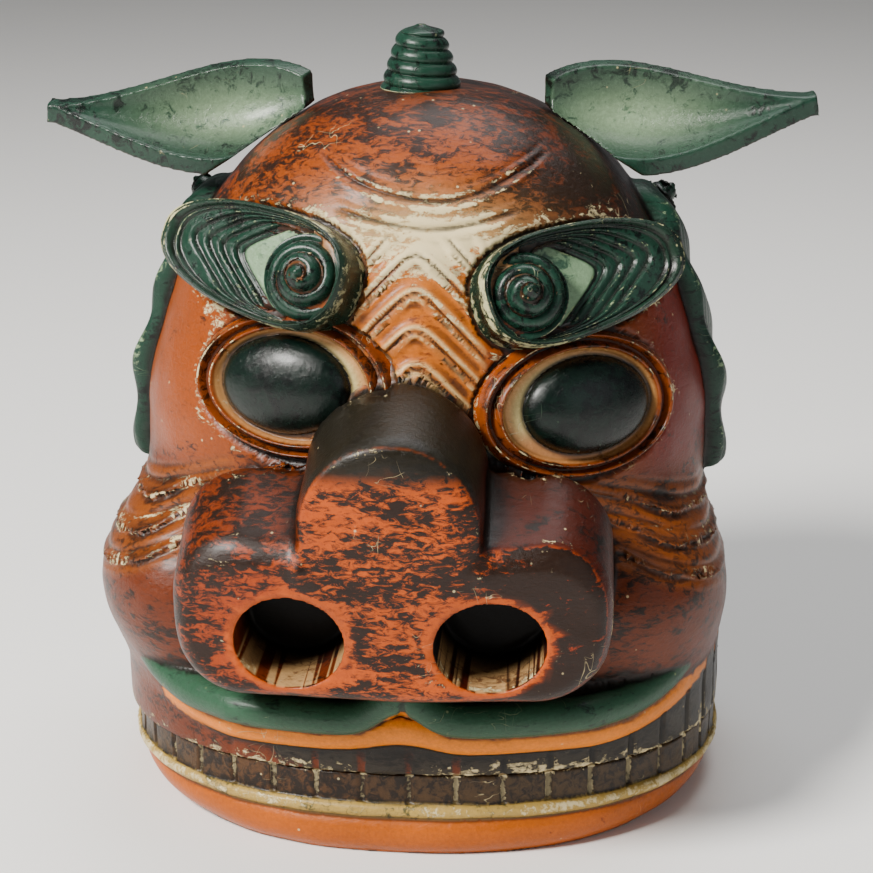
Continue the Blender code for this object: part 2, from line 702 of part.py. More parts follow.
def build_jaw(model):
    """The lower jaw: a horseshoe tray with teeth along its rim and two arms back to the axle."""
    top = MOUTH_LEVEL - TEETH_GAP
    skin = capped(jaw_field, -14, top / UNIT[2] + 14)
    jaw = carved("lower_jaw", skin, (0, 20, 20), SKIN_VOXEL, JAW_TRIANGLES, model)
    outer = arm_flat() - SIDE_GAP
    inner = outer - ARM_THICKNESS
    far = 1.0

    trims = new_collection("trimmed_from_jaw")
    box("below_jaw", (-far, -far, -far), (far, far, 0), trims)
    box("above_jaw", (-far, -far, top), (far, far, far), trims)
    box("behind_jaw", (-far, JAW_WALL_END, -far), (far, far, far), trims)
    combine(jaw, trims, "DIFFERENCE")

    arms = new_collection("jaw_arms")
    for side in (-1, 1):
        arm = plate("arm", arm_outline(), ARM_THICKNESS, arms)
        arm.data.transform(Matrix.Translation((side * (outer + inner) / 2, 0, 0)))
    combine(jaw, arms, "UNION")

    cuts = new_collection("cut_from_jaw")
    pocket = plate("pocket", [(y, x) for x, y in pocket_outline(inner, far)], far, cuts)
    lie = Matrix(((0, 0, 1, 0), (0, 1, 0, 0), (-1, 0, 0, 0), (0, 0, 0, 1)))
    pocket.data.transform(Matrix.Translation((0, 0, JAW_FLOOR + far / 2)) @ lie)
    box("behind_floor", (-inner, JAW_FLOOR_END, -far), (inner, far, far), cuts)
    cylinder("jaw_bore", AXLE_RADIUS + RUN_GAP, (-far / 4, AXLE_Y, AXLE_Z), (far / 4, AXLE_Y, AXLE_Z), cuts)
    combine(jaw, cuts, "DIFFERENCE")
    paint(jaw, "orange_lacquer", (0.55, 0.13, 0.02), 0.45)
    return jaw


def build_axle(model):
    end = head_side(AXLE_Y, AXLE_Z) - AXLE_RECESS
    axle = cylinder("jaw_axle", AXLE_RADIUS, (-end, 0, 0), (end, 0, 0), model)
    axle.location = (0, AXLE_Y, AXLE_Z)
    paint(axle, "bare_wood", (0.42, 0.27, 0.15), 0.7)
    return axle


def build_knob(model):
    """The ringed crown knob, standing in its flat on a tenon."""
    profile = ringed_profile(KNOB_RADIUS - FIT_GAP, KNOB_HEIGHT, KNOB_TIP_RADIUS, KNOB_RINGS)
    profile += [(KNOB_TENON_RADIUS, 0.0), (KNOB_TENON_RADIUS, -KNOB_TENON_LENGTH)]
    knob = turned("crown_knob", profile, 18, model)
    knob.location = knob_seat() + Vector((0, 0, FIT_GAP))
    paint(knob, "green_lacquer", (0.02, 0.06, 0.045), 0.3)
    return knob


def ear_width(s):
    """Half width of an ear along its length, as a share of its greatest half width."""
    return max(sin(pi * s ** 0.62), 0) ** 1.3


def ear_point(s, t, depth=0.0):
    """A point of the ear's face: s from base to tip, t across, depth below the face."""
    half = max(ear_width(s), 0.03) * EAR_WIDTH / 2
    scoop = EAR_SCOOP * (t * t - 1) * half * 2 / EAR_WIDTH
    return Vector((s * EAR_LENGTH, t * half - EAR_SAG * sin(pi * s), scoop + 0.012 * s * s - depth))


def ear_leaf(name, collection):
    """A grid bent into the scooped, pointed leaf of an ear, base near the origin and tip along +X."""
    bm = bmesh.new()
    bmesh.ops.create_grid(bm, x_segments=12, y_segments=5, size=1)
    for vert in bm.verts:
        vert.co = ear_point(0.53 + 0.47 * vert.co.x, vert.co.y)
    mesh = bpy.data.meshes.new(name)
    bm.to_mesh(mesh)
    bm.free()
    ear = bpy.data.objects.new(name, mesh)
    collection.objects.link(ear)
    shell = ear.modifiers.new("Thickness", "SOLIDIFY")
    shell.thickness = EAR_THICKNESS
    shell.offset = -1
    bake(ear)
    return ear


def build_ear(name, side, tilt, model):
    """One ear: its leaf stands against the skull, cut off along it, with a tenon in its socket."""
    ear = ear_leaf(name, model)
    foot, normal = ear_seat(side)
    columns = [Vector(axis) for axis in patch_axes((1, 0.10, tilt), (0.12, -0.82, 0.5))]
    for column in columns:
        column.x *= side
    turn = Matrix(columns).transposed().to_4x4()
    seat = ear_point(EAR_SEAT_SHARE, EAR_SEAT_ACROSS, EAR_THICKNESS / 2)
    set_in_patch(ear, Matrix.Translation(foot - turn @ seat) @ turn)

    cuts = new_collection(name + "_cuts")
    far = 0.3
    block = box("skull_side", (-far, -far, -far), (far, far, 0), cuts)
    facing = Vector((0, 0, 1)).rotation_difference(normal).to_matrix().to_4x4()
    block.data.transform(Matrix.Translation(foot) @ facing)
    combine(ear, cuts, "DIFFERENCE")
    tenons = new_collection(name + "_tenon")
    root = foot + normal * EAR_THICKNESS / 3
    cylinder("tenon", EAR_TENON_RADIUS, root, foot - normal * EAR_TENON_LENGTH, tenons, sides=12)
    combine(ear, tenons, "UNION")
    paint(ear, "green_lacquer", (0.02, 0.06, 0.045), 0.3)
    return ear


def main():
    for obj in list(bpy.data.objects):
        bpy.data.objects.remove(obj)
    model = new_collection(MODEL)
    build_head(model)
    build_jaw(model)
    build_axle(model)
    build_knob(model)
    build_ear("ear_left", -1, -0.11, model)
    build_ear("ear_right", 1, -0.04, model)


main()
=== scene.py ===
"""Looks for the lion dance mask: fine carving, lacquer, wear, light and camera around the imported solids.

Carving units are millimetres: x across, y back from the skull's middle, z up. MIDDLE takes them to the frame.
"""

from math import cos, pi, radians, sin

import bmesh
import bpy
import numpy as np
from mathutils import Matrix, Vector


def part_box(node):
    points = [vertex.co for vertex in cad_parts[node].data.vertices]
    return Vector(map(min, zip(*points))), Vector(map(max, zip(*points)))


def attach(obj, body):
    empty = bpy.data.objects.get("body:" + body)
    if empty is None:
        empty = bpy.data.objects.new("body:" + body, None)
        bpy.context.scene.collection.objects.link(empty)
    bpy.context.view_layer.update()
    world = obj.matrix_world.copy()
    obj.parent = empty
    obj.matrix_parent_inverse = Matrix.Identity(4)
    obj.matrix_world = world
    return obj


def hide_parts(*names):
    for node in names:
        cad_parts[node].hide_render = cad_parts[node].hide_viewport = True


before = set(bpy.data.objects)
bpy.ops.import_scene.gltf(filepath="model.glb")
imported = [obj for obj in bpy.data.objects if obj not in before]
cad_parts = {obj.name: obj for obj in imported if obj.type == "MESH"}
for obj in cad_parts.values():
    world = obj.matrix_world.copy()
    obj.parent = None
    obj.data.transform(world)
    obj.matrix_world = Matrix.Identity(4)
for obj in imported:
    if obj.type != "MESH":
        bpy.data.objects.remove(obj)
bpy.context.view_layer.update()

MM = 0.001
MIDDLE = np.array([0.0, 30.0, 0.0])
HEAD_VOXEL = 0.0012
JAW_VOXEL = 0.0011
EAR_VOXEL = 0.0010
MOST_TRIANGLES = 190000

# Carved places, as the solids have them
NOSE_FRONT = -165.0
BACK = 105.0
NOSE_SHIFT = -5.0
LIP_SHIFT = -3.5
CHEEK_SHIFT = -4.5
LIP_LEVEL = 73.0
MOUTH_LEVEL = 41.0
MOUTH_FRONT, MOUTH_HALF = 122.0, 150.0
TEETH_PER_RADIAN, GROOVE_WIDTH = 9, 0.10
SNOUT_HALF, WING_LEVEL, WING_HALF, WING_ROUND = 98.0, 130.5, 34.5, 33.0
EYES = (("left", -1, -55.0, 222.0), ("right", 1, 77.0, 213.0))
EYE_SINK = 3.0
EYE_HALF = (50.4, 34.4)
EYE_SKIRT = (-6.0, -14.0, -26.0)
DOME_SHIFT, DOME_HALF, DOME_HEIGHT = 3.5, (31.5, 22.5), 12.0
BROWS = (("left", -1, (73.5, -80.0, 277.5)), ("right", 1, (77.0, -80.0, 271.5)))
BROW_ALONG = (0.856, 0.504, 0.150)
BROW_NORMAL = (0.45, -0.80, 0.38)
BROW_HALF = (51.0, 27.0)
BROW_TAPER = 0.30
BROW_FACET, BROW_LAYERS = 0.48, 5
BROW_SKIRT = ((-2.2, 0.5), (-5.0, 0.2), (-12.0, 0.0), (-22.0, 0.0), (-36.0, 0.0))
SNAIL_ALONG = -31.0
SNAIL_NORMAL = (0.16, -0.90, 0.38)
SNAIL_RADIUS, SNAIL_HEIGHT = 20.0, 19.0
CURL_RADIUS, CURL_HEIGHT = 15.0, 15.0
CURLS = ((36.0, 284.0), (46.0, 240.0), (46.0, 196.0))
NOSTRIL_CENTRE = (44.5, 124.0)
NOSTRIL_RADII = (25.0, 21.5)
NOSTRIL_DEPTH = 46.0
KNOB_PLACE = (-3.0, 34.0)
KNOB_RADIUS, KNOB_HEIGHT, KNOB_TURNS = 19.7, 30.0, 5.0
EAR_LENGTH, EAR_WIDTH, EAR_THICKNESS = 133.0, 47.0, 9.0
EAR_SCOOP, EAR_SAG = 12.0, 8.0
EAR_SEAT = (68.0, 44.0)
EAR_SEAT_SHARE, EAR_SEAT_ACROSS = 0.13, -0.25
EAR_FORWARD, EAR_NORMAL = 0.10, (0.12, -0.82, 0.5)
EARS = (("left", -1, -0.11), ("right", 1, -0.04))

# Lacquer colours, as the eye sees them
ORANGE = (126, 54, 0)
RED_BROWN = (86, 22, 2)
DARK_BROWN = (32, 14, 5)
OLIVE = (24, 20, 11)
GREEN = (22, 50, 38)
DEEP_GREEN = (6, 14, 11)
PALE_GREEN = (126, 148, 112)
CREAM = (206, 188, 142)
WOOD = (170, 132, 84)
DULL_WOOD = (84, 58, 34)
SLATE = (42, 36, 28)
TOOTH_BROWN = (58, 42, 22)
# Near black of the painted shade in the nostril pits
PIT_SHADE_BLACK = (6, 4, 3)
# Near black of the painted shade in hollows, grooves and creases
PAINTED_SHADE_COLOUR = (16, 11, 8)
INSIDE = {"tint": DULL_WOOD, "under": (48, 32, 18), "bare": WOOD, "mottle": 0.4, "worn": 0.1, "dull": 0.8}

# What the lacquer is made of
# The third share is painted shade in hollows, grooves and creases
SHARES = ("mottle", "worn", "painted_shade", "dull")
SPECK_SCALE, SPECK_SIZE, SPECK_LEVEL = 210, 0.13, 0.96
SCRATCH_GATE = 0.63
BUMP_STRENGTH, BUMP_DISTANCE = 0.75, 0.0011
COAT_ROUGHNESS, SPECULAR = 0.2, 0.22

# Floor, lights and camera, in metres and watts
FLOOR_SIZE, FLOOR_COLOUR, FLOOR_ROUGHNESS = 12, (0.86, 0.85, 0.83, 1), 0.8
LIGHT_AIM = (0, 0, 0.18)
LIGHTS = (("key", (-1.25, -1.25, 1.75), 0.7, 135, (1.0, 0.97, 0.92)),
          ("fill", (1.6, -1.4, 0.9), 1.6, 6, (0.92, 0.96, 1.0)),
          ("top", (0.2, 0.6, 2.0), 1.4, 26, (1, 1, 1)))
WORLD_COLOUR, WORLD_STRENGTH = (0.95, 0.97, 1.0, 1), 0.16
CAMERA_AZIMUTH, CAMERA_ELEVATION, CAMERA_DISTANCE = radians(4), radians(18), 1.150
CAMERA_TARGET = (0.006, 0.010, 0.175)
CAMERA_LENS, SENSOR_WIDTH = 96.8, 36


def linear(colour):
    c = np.asarray(colour, float) / 255
    return np.where(c <= 0.04045, c / 12.92, ((c + 0.055) / 1.055) ** 2.4)


def to_metres(p):
    return (np.asarray(p, float) + MIDDLE) * MM


def to_carving(p):
    return np.asarray(p, float) / MM - MIDDLE


def unit_vector(v):
    v = np.asarray(v, float)
    return v / np.linalg.norm(v)


def union(a, b, blend):
    h = np.clip(0.5 + 0.5 * (b - a) / blend, 0, 1)
    return b + (a - b) * h - blend * h * (1 - h)


def smooth(t):
    t = np.clip(t, 0, 1)
    return t * t * (3 - 2 * t)


def window(value, low, high, soft):
    return smooth((value - low) / soft + 1) * smooth((high - value) / soft + 1)


def bell(value, width):
    return np.exp(-np.square(value / width))


def ellipsoid(p, centre, radii):
    q = p - np.asarray(centre, float)
    near = np.linalg.norm(q / radii, axis=1)
    steep = np.linalg.norm(q / np.square(radii), axis=1)
    return near * (near - 1) / np.maximum(steep, 1e-9)


def mirrored(p, shift=0.0):
    q = p.copy()
    q[:, 0] = np.abs(p[:, 0] - shift)
    return q


def shifted(p, shift):
    return p - (shift, 0, 0)


def patch_axes(along, normal):
    """Unit vectors along, up and out of a carved patch."""
    along = unit_vector(along)
    normal = np.asarray(normal, float)
    normal = unit_vector(normal - along * (normal @ along))
    up = np.cross(normal, along)
    return along, up if up[2] > 0 else -up, normal


def rounded_extrusion(outline, depth, edge):
    a = outline + edge
    b = depth + edge
    outside = np.hypot(np.maximum(a, 0), np.maximum(b, 0))
    return np.minimum(np.maximum(a, b), 0) + outside - edge


def waver(p, size, seed):
    """A slow, smooth unevenness between -1 and 1, as a hand-held gouge leaves."""
    q = p / size + seed * 7.3
    total = np.sin(q[:, 0] + 1.7 * np.sin(q[:, 1] * 0.9 + seed))
    total += np.sin(q[:, 1] * 1.3 + 1.5 * np.sin(q[:, 2] * 1.1))
    total += np.sin(q[:, 2] * 1.2 + 1.6 * np.sin(q[:, 0] * 0.8 + 2.0))
    return total / 3


def skull(p):
    x, y, z = np.abs(p[:, 0]), p[:, 1], p[:, 2] - 190
    power = 2.15
    wide = (x / (130 + 7 * window(p[:, 2], -50, 190, 60))) ** power
    deep = np.where(y < 0, np.abs(y / 105) ** power, np.abs(y / 150) ** 2.6)
    tall = np.where(z > 0, np.abs(z / 154) ** power, np.abs(z / 520) ** power)
    return (np.maximum(wide + deep + tall, 1e-9) ** (1 / power) - 1) * 130


def mouth_plan(p, half=MOUTH_HALF):
    """Distance outside the mouth's outline as it is seen from above."""
    x, y = np.abs(p[:, 0]), p[:, 1]
    taper = 1 - 0.13 * np.clip(y / BACK, 0, 1.2) ** 2.5
    power = 2.3
    size = (x / (half * taper)) ** power + (np.maximum(-y, 0) / MOUTH_FRONT) ** power
    return (np.maximum(size, 1e-9) ** (1 / power) - 1) * 134


def muzzle(p):
    return rounded_extrusion(mouth_plan(shifted(p, LIP_SHIFT)) + 3, p[:, 2] - 122, 40.0)


def cheeks(p):
    return ellipsoid(mirrored(p, CHEEK_SHIFT), (102, -40, 114), (50, 64, 46))


def cheek_fold(p):
    """How far each point of the cheek is from the nearest of its fine folds, and where the folds are."""
    q = mirrored(p, CHEEK_SHIFT)
    out = q[:, 0] - 84
    line = q[:, 2] + 0.35 * out + 2.5 * waver(p, 22.0, 15)
    here = window(line, 146, 180, 6) * window(out, 2, 60, 14) * window(q[:, 1], -120, -15, 20)
    return np.mod(line, 12.0) - 6.0, here


def cheek_wrinkles(p):
    fold, here = cheek_fold(p)
    return (1.5 * bell(fold, 1.2) - 0.8 * bell(np.abs(fold) - 3.0, 1.5)) * here


def mouth_lift(p):
    return window(p[:, 1], -35, 200, 75)


def cusp(p, width=14.0):
    return bell(p[:, 0] - NOSE_SHIFT / 2, width)


def sideways(p):
    return np.clip((np.abs(p[:, 0]) - 85) / 60, 0, 1)


def lips(p):
    plan = mouth_plan(shifted(p, LIP_SHIFT))
    level = LIP_LEVEL + 15 * cusp(p) + 15 * mouth_lift(p)
    out = 8 + 7 * cusp(p) - 17 * sideways(p)
    tube = np.hypot(plan - out, (p[:, 2] - level) * 1.1) - 9.0 - 0.5 * waver(p, 9.0, 1)
    crease = 2.2 * bell(p[:, 0] - NOSE_SHIFT / 2 - 1.5, 2.0)
    return np.maximum(tube + crease, p[:, 1] - 20)


def tooth_grooves(p):
    """1 in the grooves between the teeth, 0 on the teeth."""
    turn = np.arctan2(p[:, 0] / MOUTH_HALF, -p[:, 1] / MOUTH_FRONT + 0.35)
    phase = np.abs(np.mod(turn * TEETH_PER_RADIAN, 1) - 0.5) * 2
    return smooth((phase - 1 + 2 * GROOVE_WIDTH) / GROOVE_WIDTH) * window(p[:, 1], -200, 10, 10)


def gum_edge(p):
    """Height of the gum's lower edge."""
    return 53 + 12 * mouth_lift(p) + 5 * cusp(p, 20.0) + 0.8 * waver(p, 14.0, 2)


def gum_band(p):
    plan = mouth_plan(p)
    inset = 7 + 9 * sideways(p)
    level = gum_edge(p) + 8
    return np.maximum(np.hypot((plan + inset) * 0.8, p[:, 2] - level) - 10.5, p[:, 1] - 20)


def upper_teeth(p):
    front = mouth_plan(p) + 2 + 1.3 * tooth_grooves(p) + 0.3 * waver(p, 5.0, 3)
    return np.maximum(front, p[:, 2] - 62 - 12 * mouth_lift(p))


def nose_outline(p):
    x = np.abs(p[:, 0] - NOSE_SHIFT)
    back = p[:, 1] - NOSE_FRONT
    upper = np.clip((p[:, 2] - 115) / 30, 0, 1)
    rise = upper * (0.5 * np.minimum(back, 50) - 0.8 * np.maximum(back - 50, 0))
    wing_x = x - (SNOUT_HALF - WING_ROUND)
    wing_z = np.abs(p[:, 2] - rise - WING_LEVEL) - (WING_HALF - WING_ROUND)
    outside = np.hypot(np.maximum(wing_x, 0), np.maximum(wing_z, 0))
    wings = outside + np.minimum(np.maximum(wing_x, wing_z), 0) - WING_ROUND
    z = p[:, 2] - 0.55 * rise
    lobe = np.hypot(x, z - np.clip(z, 140, 176)) - 41
    return union(wings, lobe, 4.0)


def lobe_line(p):
    """Distance from the raised line that carries the lobe's edge down over the snout's face."""
    x = np.abs(p[:, 0] - NOSE_SHIFT)
    return np.hypot(x, p[:, 2] - np.clip(p[:, 2], 150, 176)) - 40


def nose(p):
    x = p[:, 0] - NOSE_SHIFT
    front = NOSE_FRONT + 10 * np.square(x / 100) + 1.0 * waver(p, 17.0, 4) + 0.35 * waver(p, 5.0, 5)
    rim = 1.6 * bell(lobe_line(p), 3.0) * window(p[:, 2], 160, 300, 12)
    depth = np.maximum(front - rim - p[:, 1], p[:, 1] + 60)
    return rounded_extrusion(nose_outline(p) + 0.5 * waver(p, 14.0, 6), depth, 8.5)


def arch_level(p):
    """How far each point of the bridge is from its nearest arch, square to the arch."""
    x = 1.1 * (p[:, 0] - 2 - 1.2 * waver(p, 16.0, 7))
    tip = np.hypot(x, 6)
    drop = np.mod(p[:, 2] + tip - 6 - 251 + 8, 16) - 8
    return drop / np.sqrt(1 + 1.21 * np.square(x / tip))


def bridge_here(p):
    tall = window(p[:, 2], 218, 280, 12) * window(p[:, 1], -200, -20, 20)
    return tall * window(np.abs(p[:, 0] - 2), -1, 28, 6)


def bridge(p):
    off = arch_level(p)
    lines = 1.5 * bell(np.abs(off) - 2.0, 1.1) - 1.9 * bell(off, 0.9)
    body = 5 * bell(p[:, 0] - 2, 30) * window(p[:, 2], 222, 278, 14) * window(p[:, 1], -200, -20, 20)
    return body + (0.9 * np.cos(off * pi / 6) + lines) * bridge_here(p)


def wrinkle_lines(p):
    """The crescent grooves of the forehead, each with a thin raised edge: their depth."""
    x = p[:, 0] - 6
    total = np.zeros(len(p))
    for level, half, bend in ((304.0, 44.0, 0.0062), (293.0, 34.0, 0.0035)):
        off = p[:, 2] - level - np.square(x) * bend - 0.8 * waver(p, 12.0, level)
        pair = 1.6 * bell(off, 1.2) + 0.4 * bell(off - 5, 1.2)
        total += (pair - 0.6 * bell(off + 2.6, 1.3)) * window(np.abs(x), -1, half, 10)
    return total * window(p[:, 1], -200, 0, 20)


def mane_middle(p):
    return 14 + 0.0012 * np.square(p[:, 2] - 225)


def mane(p):
    y, z = p[:, 1], p[:, 2]
    across = y - mane_middle(p)
    strip = np.hypot(across, np.maximum(z - 272, 0)) - 24
    strands = 1.3 * np.abs(np.sin(across * 0.33 + 0.7 * np.sin(z * 0.05))) ** 0.6
    wave = 1.6 * np.sin(z * 0.16 + y * 0.09) + strands - 0.8
    return rounded_extrusion(np.maximum(strip, 157 - z), skull(p) - 9 - wave, 5.0)


def plain_face(p):
    return union(skull(p), muzzle(p), 26)


def coarse_head(p):
    """The head as its solid has it, near enough to stand ears, eyes and curls on."""
    body = union(plain_face(p), cheeks(p), 22)
    body = union(body, mane(p), 2)
    return union(body, nose(p), 4)


def face_body(p):
    body = union(plain_face(p), cheeks(p), 22) - cheek_wrinkles(p) + wrinkle_lines(p) - bridge(p)
    return body + 0.45 * waver(p, 13.0, 8) + 0.2 * waver(p, 4.5, 9)


def head_parts(p):
    """Distance fields of what the head is carved into, in the order of the names that follow."""
    return [face_body(p), mane(p), gum_band(p), upper_teeth(p), lips(p), nose(p)]


BODY, MANE, GUM, TEETH, LIPS, NOSE = range(6)


def head_field(p):
    body, hair, band, teeth, lip, snout = head_parts(p)
    body = union(body, hair, 1.5)
    body = union(body, union(band, teeth, 1.5), 2)
    body = union(body, lip, 1.2)
    return union(body, snout, 3)


def jaw_plan(p):
    return mouth_plan(p, half=MOUTH_HALF - 17 * np.clip((26 - p[:, 2]) / 26, 0, 1.2))


def jaw_parts(p):
    plan = jaw_plan(p)
    lip = np.hypot(plan + 9, p[:, 2] - 10.5) - 11.5 - 0.4 * waver(p, 9.0, 11)
    ridge = np.hypot(plan + 2.6, p[:, 2] - 22) - 3.4 - 0.4 * waver(p, 6.0, 12)
    teeth = plan + 3 + 1.3 * tooth_grooves(p) + 0.3 * waver(p, 5.0, 13)
    return [lip, ridge, teeth]


JAW_LIP, JAW_RIDGE, JAW_TEETH = range(3)


def jaw_field(p):
    lip, ridge, teeth = jaw_parts(p)
    return union(union(teeth, lip, 1.5), ridge, 1.2)


def slope_of(field, p, step=0.3):
    here = field(p)
    slope = np.empty_like(p)
    for axis in range(3):
        moved = p.copy()
        moved[:, axis] += step
        slope[:, axis] = (field(moved) - here) / step
    return here, slope


def surface_hit(start, direction, field=coarse_head):
    """The carved point and normal where a straight line from outside meets a field."""
    p = np.asarray(start, float)[None]
    ray = unit_vector(direction)
    step = 1.0
    while step > 0.01:
        step = 0.7 * float(field(p)[0])
        p = p + ray * step
    _, slope = slope_of(field, p)
    return p[0], unit_vector(slope[0])


# Mesh handling


def points_of(mesh):
    flat = np.empty(len(mesh.vertices) * 3, np.float32)
    mesh.vertices.foreach_get("co", flat)
    return flat.reshape(-1, 3).astype(np.float64)


def normals_of(mesh):
    flat = np.empty(len(mesh.vertices) * 3, np.float32)
    mesh.vertices.foreach_get("normal", flat)
    return flat.reshape(-1, 3).astype(np.float64)


def set_points(mesh, p):
    mesh.vertices.foreach_set("co", np.asarray(p, np.float32).ravel())
    mesh.update()


def bake(obj):
    bpy.context.view_layer.update()
    graph = bpy.context.evaluated_depsgraph_get()
    mesh = bpy.data.meshes.new_from_object(obj.evaluated_get(graph))
    old = obj.data
    obj.modifiers.clear()
    obj.data = mesh
    bpy.data.meshes.remove(old)


def new_object(name, mesh):
    obj = bpy.data.objects.new(name, mesh)
    obj.data.name = name
    bpy.context.scene.collection.objects.link(obj)
    return obj


def remeshed(obj, voxel):
    remesh = obj.modifiers.new("Even skin", "REMESH")
    remesh.mode = "VOXEL"
    remesh.voxel_size = voxel
    bake(obj)


def thinned(obj, most):
    triangles = sum(len(f.vertices) - 2 for f in obj.data.polygons)
    if triangles > most:
        thin = obj.modifiers.new("Thin", "DECIMATE")
        thin.ratio = most / triangles
        bake(obj)


def dense_copy(name, node, voxel):
    """An evenly remeshed copy of a CAD node's mesh."""
    obj = new_object(name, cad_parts[node].data.copy())
    obj.data.materials.clear()
    remeshed(obj, voxel)
    return obj


def shade_smooth(mesh):
    mesh.polygons.foreach_set("use_smooth", np.ones(len(mesh.polygons), bool))


def polar_mesh(name, grid):
    """A closed mesh from rings of points, (rings, sectors, 3), with a pole at each end. Metres."""
    rings, sectors, _ = grid.shape
    points = np.vstack([grid[0].mean(0), grid.reshape(-1, 3), grid[-1].mean(0)])
    faces = []
    for j in range(sectors):
        k = (j + 1) % sectors
        faces.append((0, 1 + j, 1 + k))
        last = 1 + (rings - 1) * sectors
        faces.append((len(points) - 1, last + k, last + j))
        for i in range(rings - 1):
            near, far = 1 + i * sectors, 1 + (i + 1) * sectors
            faces.append((near + j, far + j, far + k, near + k))
    mesh = bpy.data.meshes.new(name)
    mesh.from_pydata(points.tolist(), [], faces)
    bm = bmesh.new()
    bm.from_mesh(mesh)
    bmesh.ops.recalc_face_normals(bm, faces=bm.faces)
    bm.to_mesh(mesh)
    bm.free()
    return mesh


def relief_of(mesh, rounds):
    """How far each point stands out of its smoothed surroundings, in millimetres."""
    p = points_of(mesh) / MM
    edges = np.empty(len(mesh.edges) * 2, np.int32)
    mesh.edges.foreach_get("vertices", edges)
    a, b = edges[0::2], edges[1::2]
    count = np.bincount(a, minlength=len(p)) + np.bincount(b, minlength=len(p))
    count = np.maximum(count, 1)
    q = p.copy()
    for _ in range(rounds):
        mean = np.empty_like(q)
        for axis in range(3):
            total = np.bincount(a, q[b, axis], len(p)) + np.bincount(b, q[a, axis], len(p))
            mean[:, axis] = total / count
        q = 0.35 * q + 0.65 * mean
    return ((p - q) * normals_of(mesh)).sum(axis=1)


# Paint: each point gets a paint colour, the one mottled into it, the one that shows where it is worn,
# and four shares: how mottled, worn, darkened by painted shade in its hollows, and dull it is


class Coat:
    """Colours and shares of mottling, wear and painted shade for a set of points."""

    def __init__(self, count, tint, under, bare, mottle=0.35, worn=0.0):
        self.colours = {key: np.tile(linear(value), (count, 1)) for key, value in
                        (("tint", tint), ("under", under), ("bare", bare))}
        self.shares = {key: np.full(count, float(value)) for key, value in
                       zip(SHARES, (mottle, worn, 0.0, 0.0))}

    def blend(self, amount, tint=None, under=None, bare=None, **shares):
        """Moves the points towards other colours and shares by an amount from 0 to 1, or where it is true."""
        amount = np.clip(np.asarray(amount, float), 0, 1)
        for key, value in (("tint", tint), ("under", under), ("bare", bare)):
            if value is not None:
                have = self.colours[key]
                self.colours[key] = have + (linear(value) - have) * amount[:, None]
        for key, value in shares.items():
            have = self.shares[key]
            self.shares[key] = have + (value - have) * amount

    def add(self, key, amount):
        self.shares[key] = self.shares[key] + amount

    def put_on(self, mesh):
        for key, colour in self.colours.items():
            attribute = mesh.attributes.new(key, "FLOAT_COLOR", "POINT")
            full = np.ones((len(colour), 4), np.float32)
            full[:, :3] = colour
            attribute.data.foreach_set("color", full.ravel())
        for key, share in self.shares.items():
            attribute = mesh.attributes.new(key, "FLOAT", "POINT")
            attribute.data.foreach_set("value", np.clip(share, 0, 1).astype(np.float32))


class Graph:
    """Short names for building a material's nodes."""

    def __init__(self, name):
        self.material = bpy.data.materials.new(name)
        self.material.use_nodes = True
        self.tree = self.material.node_tree
        self.shader = self.tree.nodes["Principled BSDF"]

    def put(self, socket, value):
        if hasattr(value, "is_output"):
            self.tree.links.new(value, socket)
        else:
            socket.default_value = value

    def math(self, operation, a, b=0.0, c=None, clamp=False):
        node = self.tree.nodes.new("ShaderNodeMath")
        node.operation = operation
        node.use_clamp = clamp
        for socket, value in zip(node.inputs, (a, b, c)):
            if value is not None:
                self.put(socket, value)
        return node.outputs[0]

    def mix(self, amount, a, b, mode="MIX"):
        node = self.tree.nodes.new("ShaderNodeMix")
        node.data_type = "RGBA"
        node.blend_type = mode
        node.clamp_factor = True
        self.put(node.inputs[0], amount)
        self.put(node.inputs[6], a)
        self.put(node.inputs[7], b)
        return node.outputs[2]

    def attribute(self, name):
        node = self.tree.nodes.new("ShaderNodeAttribute")
        node.attribute_name = name
        return node

    def place(self, scale=(1, 1, 1), turn=(0, 0, 0)):
        coords = self.tree.nodes.new("ShaderNodeTexCoord")
        mapping = self.tree.nodes.new("ShaderNodeMapping")
        self.tree.links.new(coords.outputs["Object"], mapping.inputs["Vector"])
        mapping.inputs["Scale"].default_value = scale
        mapping.inputs["Rotation"].default_value = turn
        return mapping.outputs[0]

    def noise(self, place, scale, detail=6.0, rough=0.6, warp=0.0):
        node = self.tree.nodes.new("ShaderNodeTexNoise")
        self.put(node.inputs["Vector"], place)
        node.inputs["Scale"].default_value = scale
        node.inputs["Detail"].default_value = detail
        node.inputs["Roughness"].default_value = rough
        node.inputs["Distortion"].default_value = warp
        return node.outputs[0]

    def bump(self, height, distance, strength=1.0):
        node = self.tree.nodes.new("ShaderNodeBump")
        node.inputs["Strength"].default_value = strength
        node.inputs["Distance"].default_value = distance
        self.put(node.inputs["Height"], height)
        self.tree.links.new(node.outputs[0], self.shader.inputs["Normal"])

    def step(self, value, level, soft):
        """0 below level and 1 above it, over a soft width."""
        over = self.math("SUBTRACT", value, level)
        return self.math("MULTIPLY_ADD", over, 1 / soft, 0.5, clamp=True)


def scratch_lines(g, scale, turn, size, warp, middle, width, soft):
    """Thin lines, where a stretched noise crosses its middle."""
    lines = g.noise(g.place(scale=scale, turn=turn), size, 2.0, 0.45, warp)
    away = g.math("ABSOLUTE", g.math("SUBTRACT", lines, middle))
    return g.math("SUBTRACT", 1.0, g.step(away, width, soft), clamp=True)


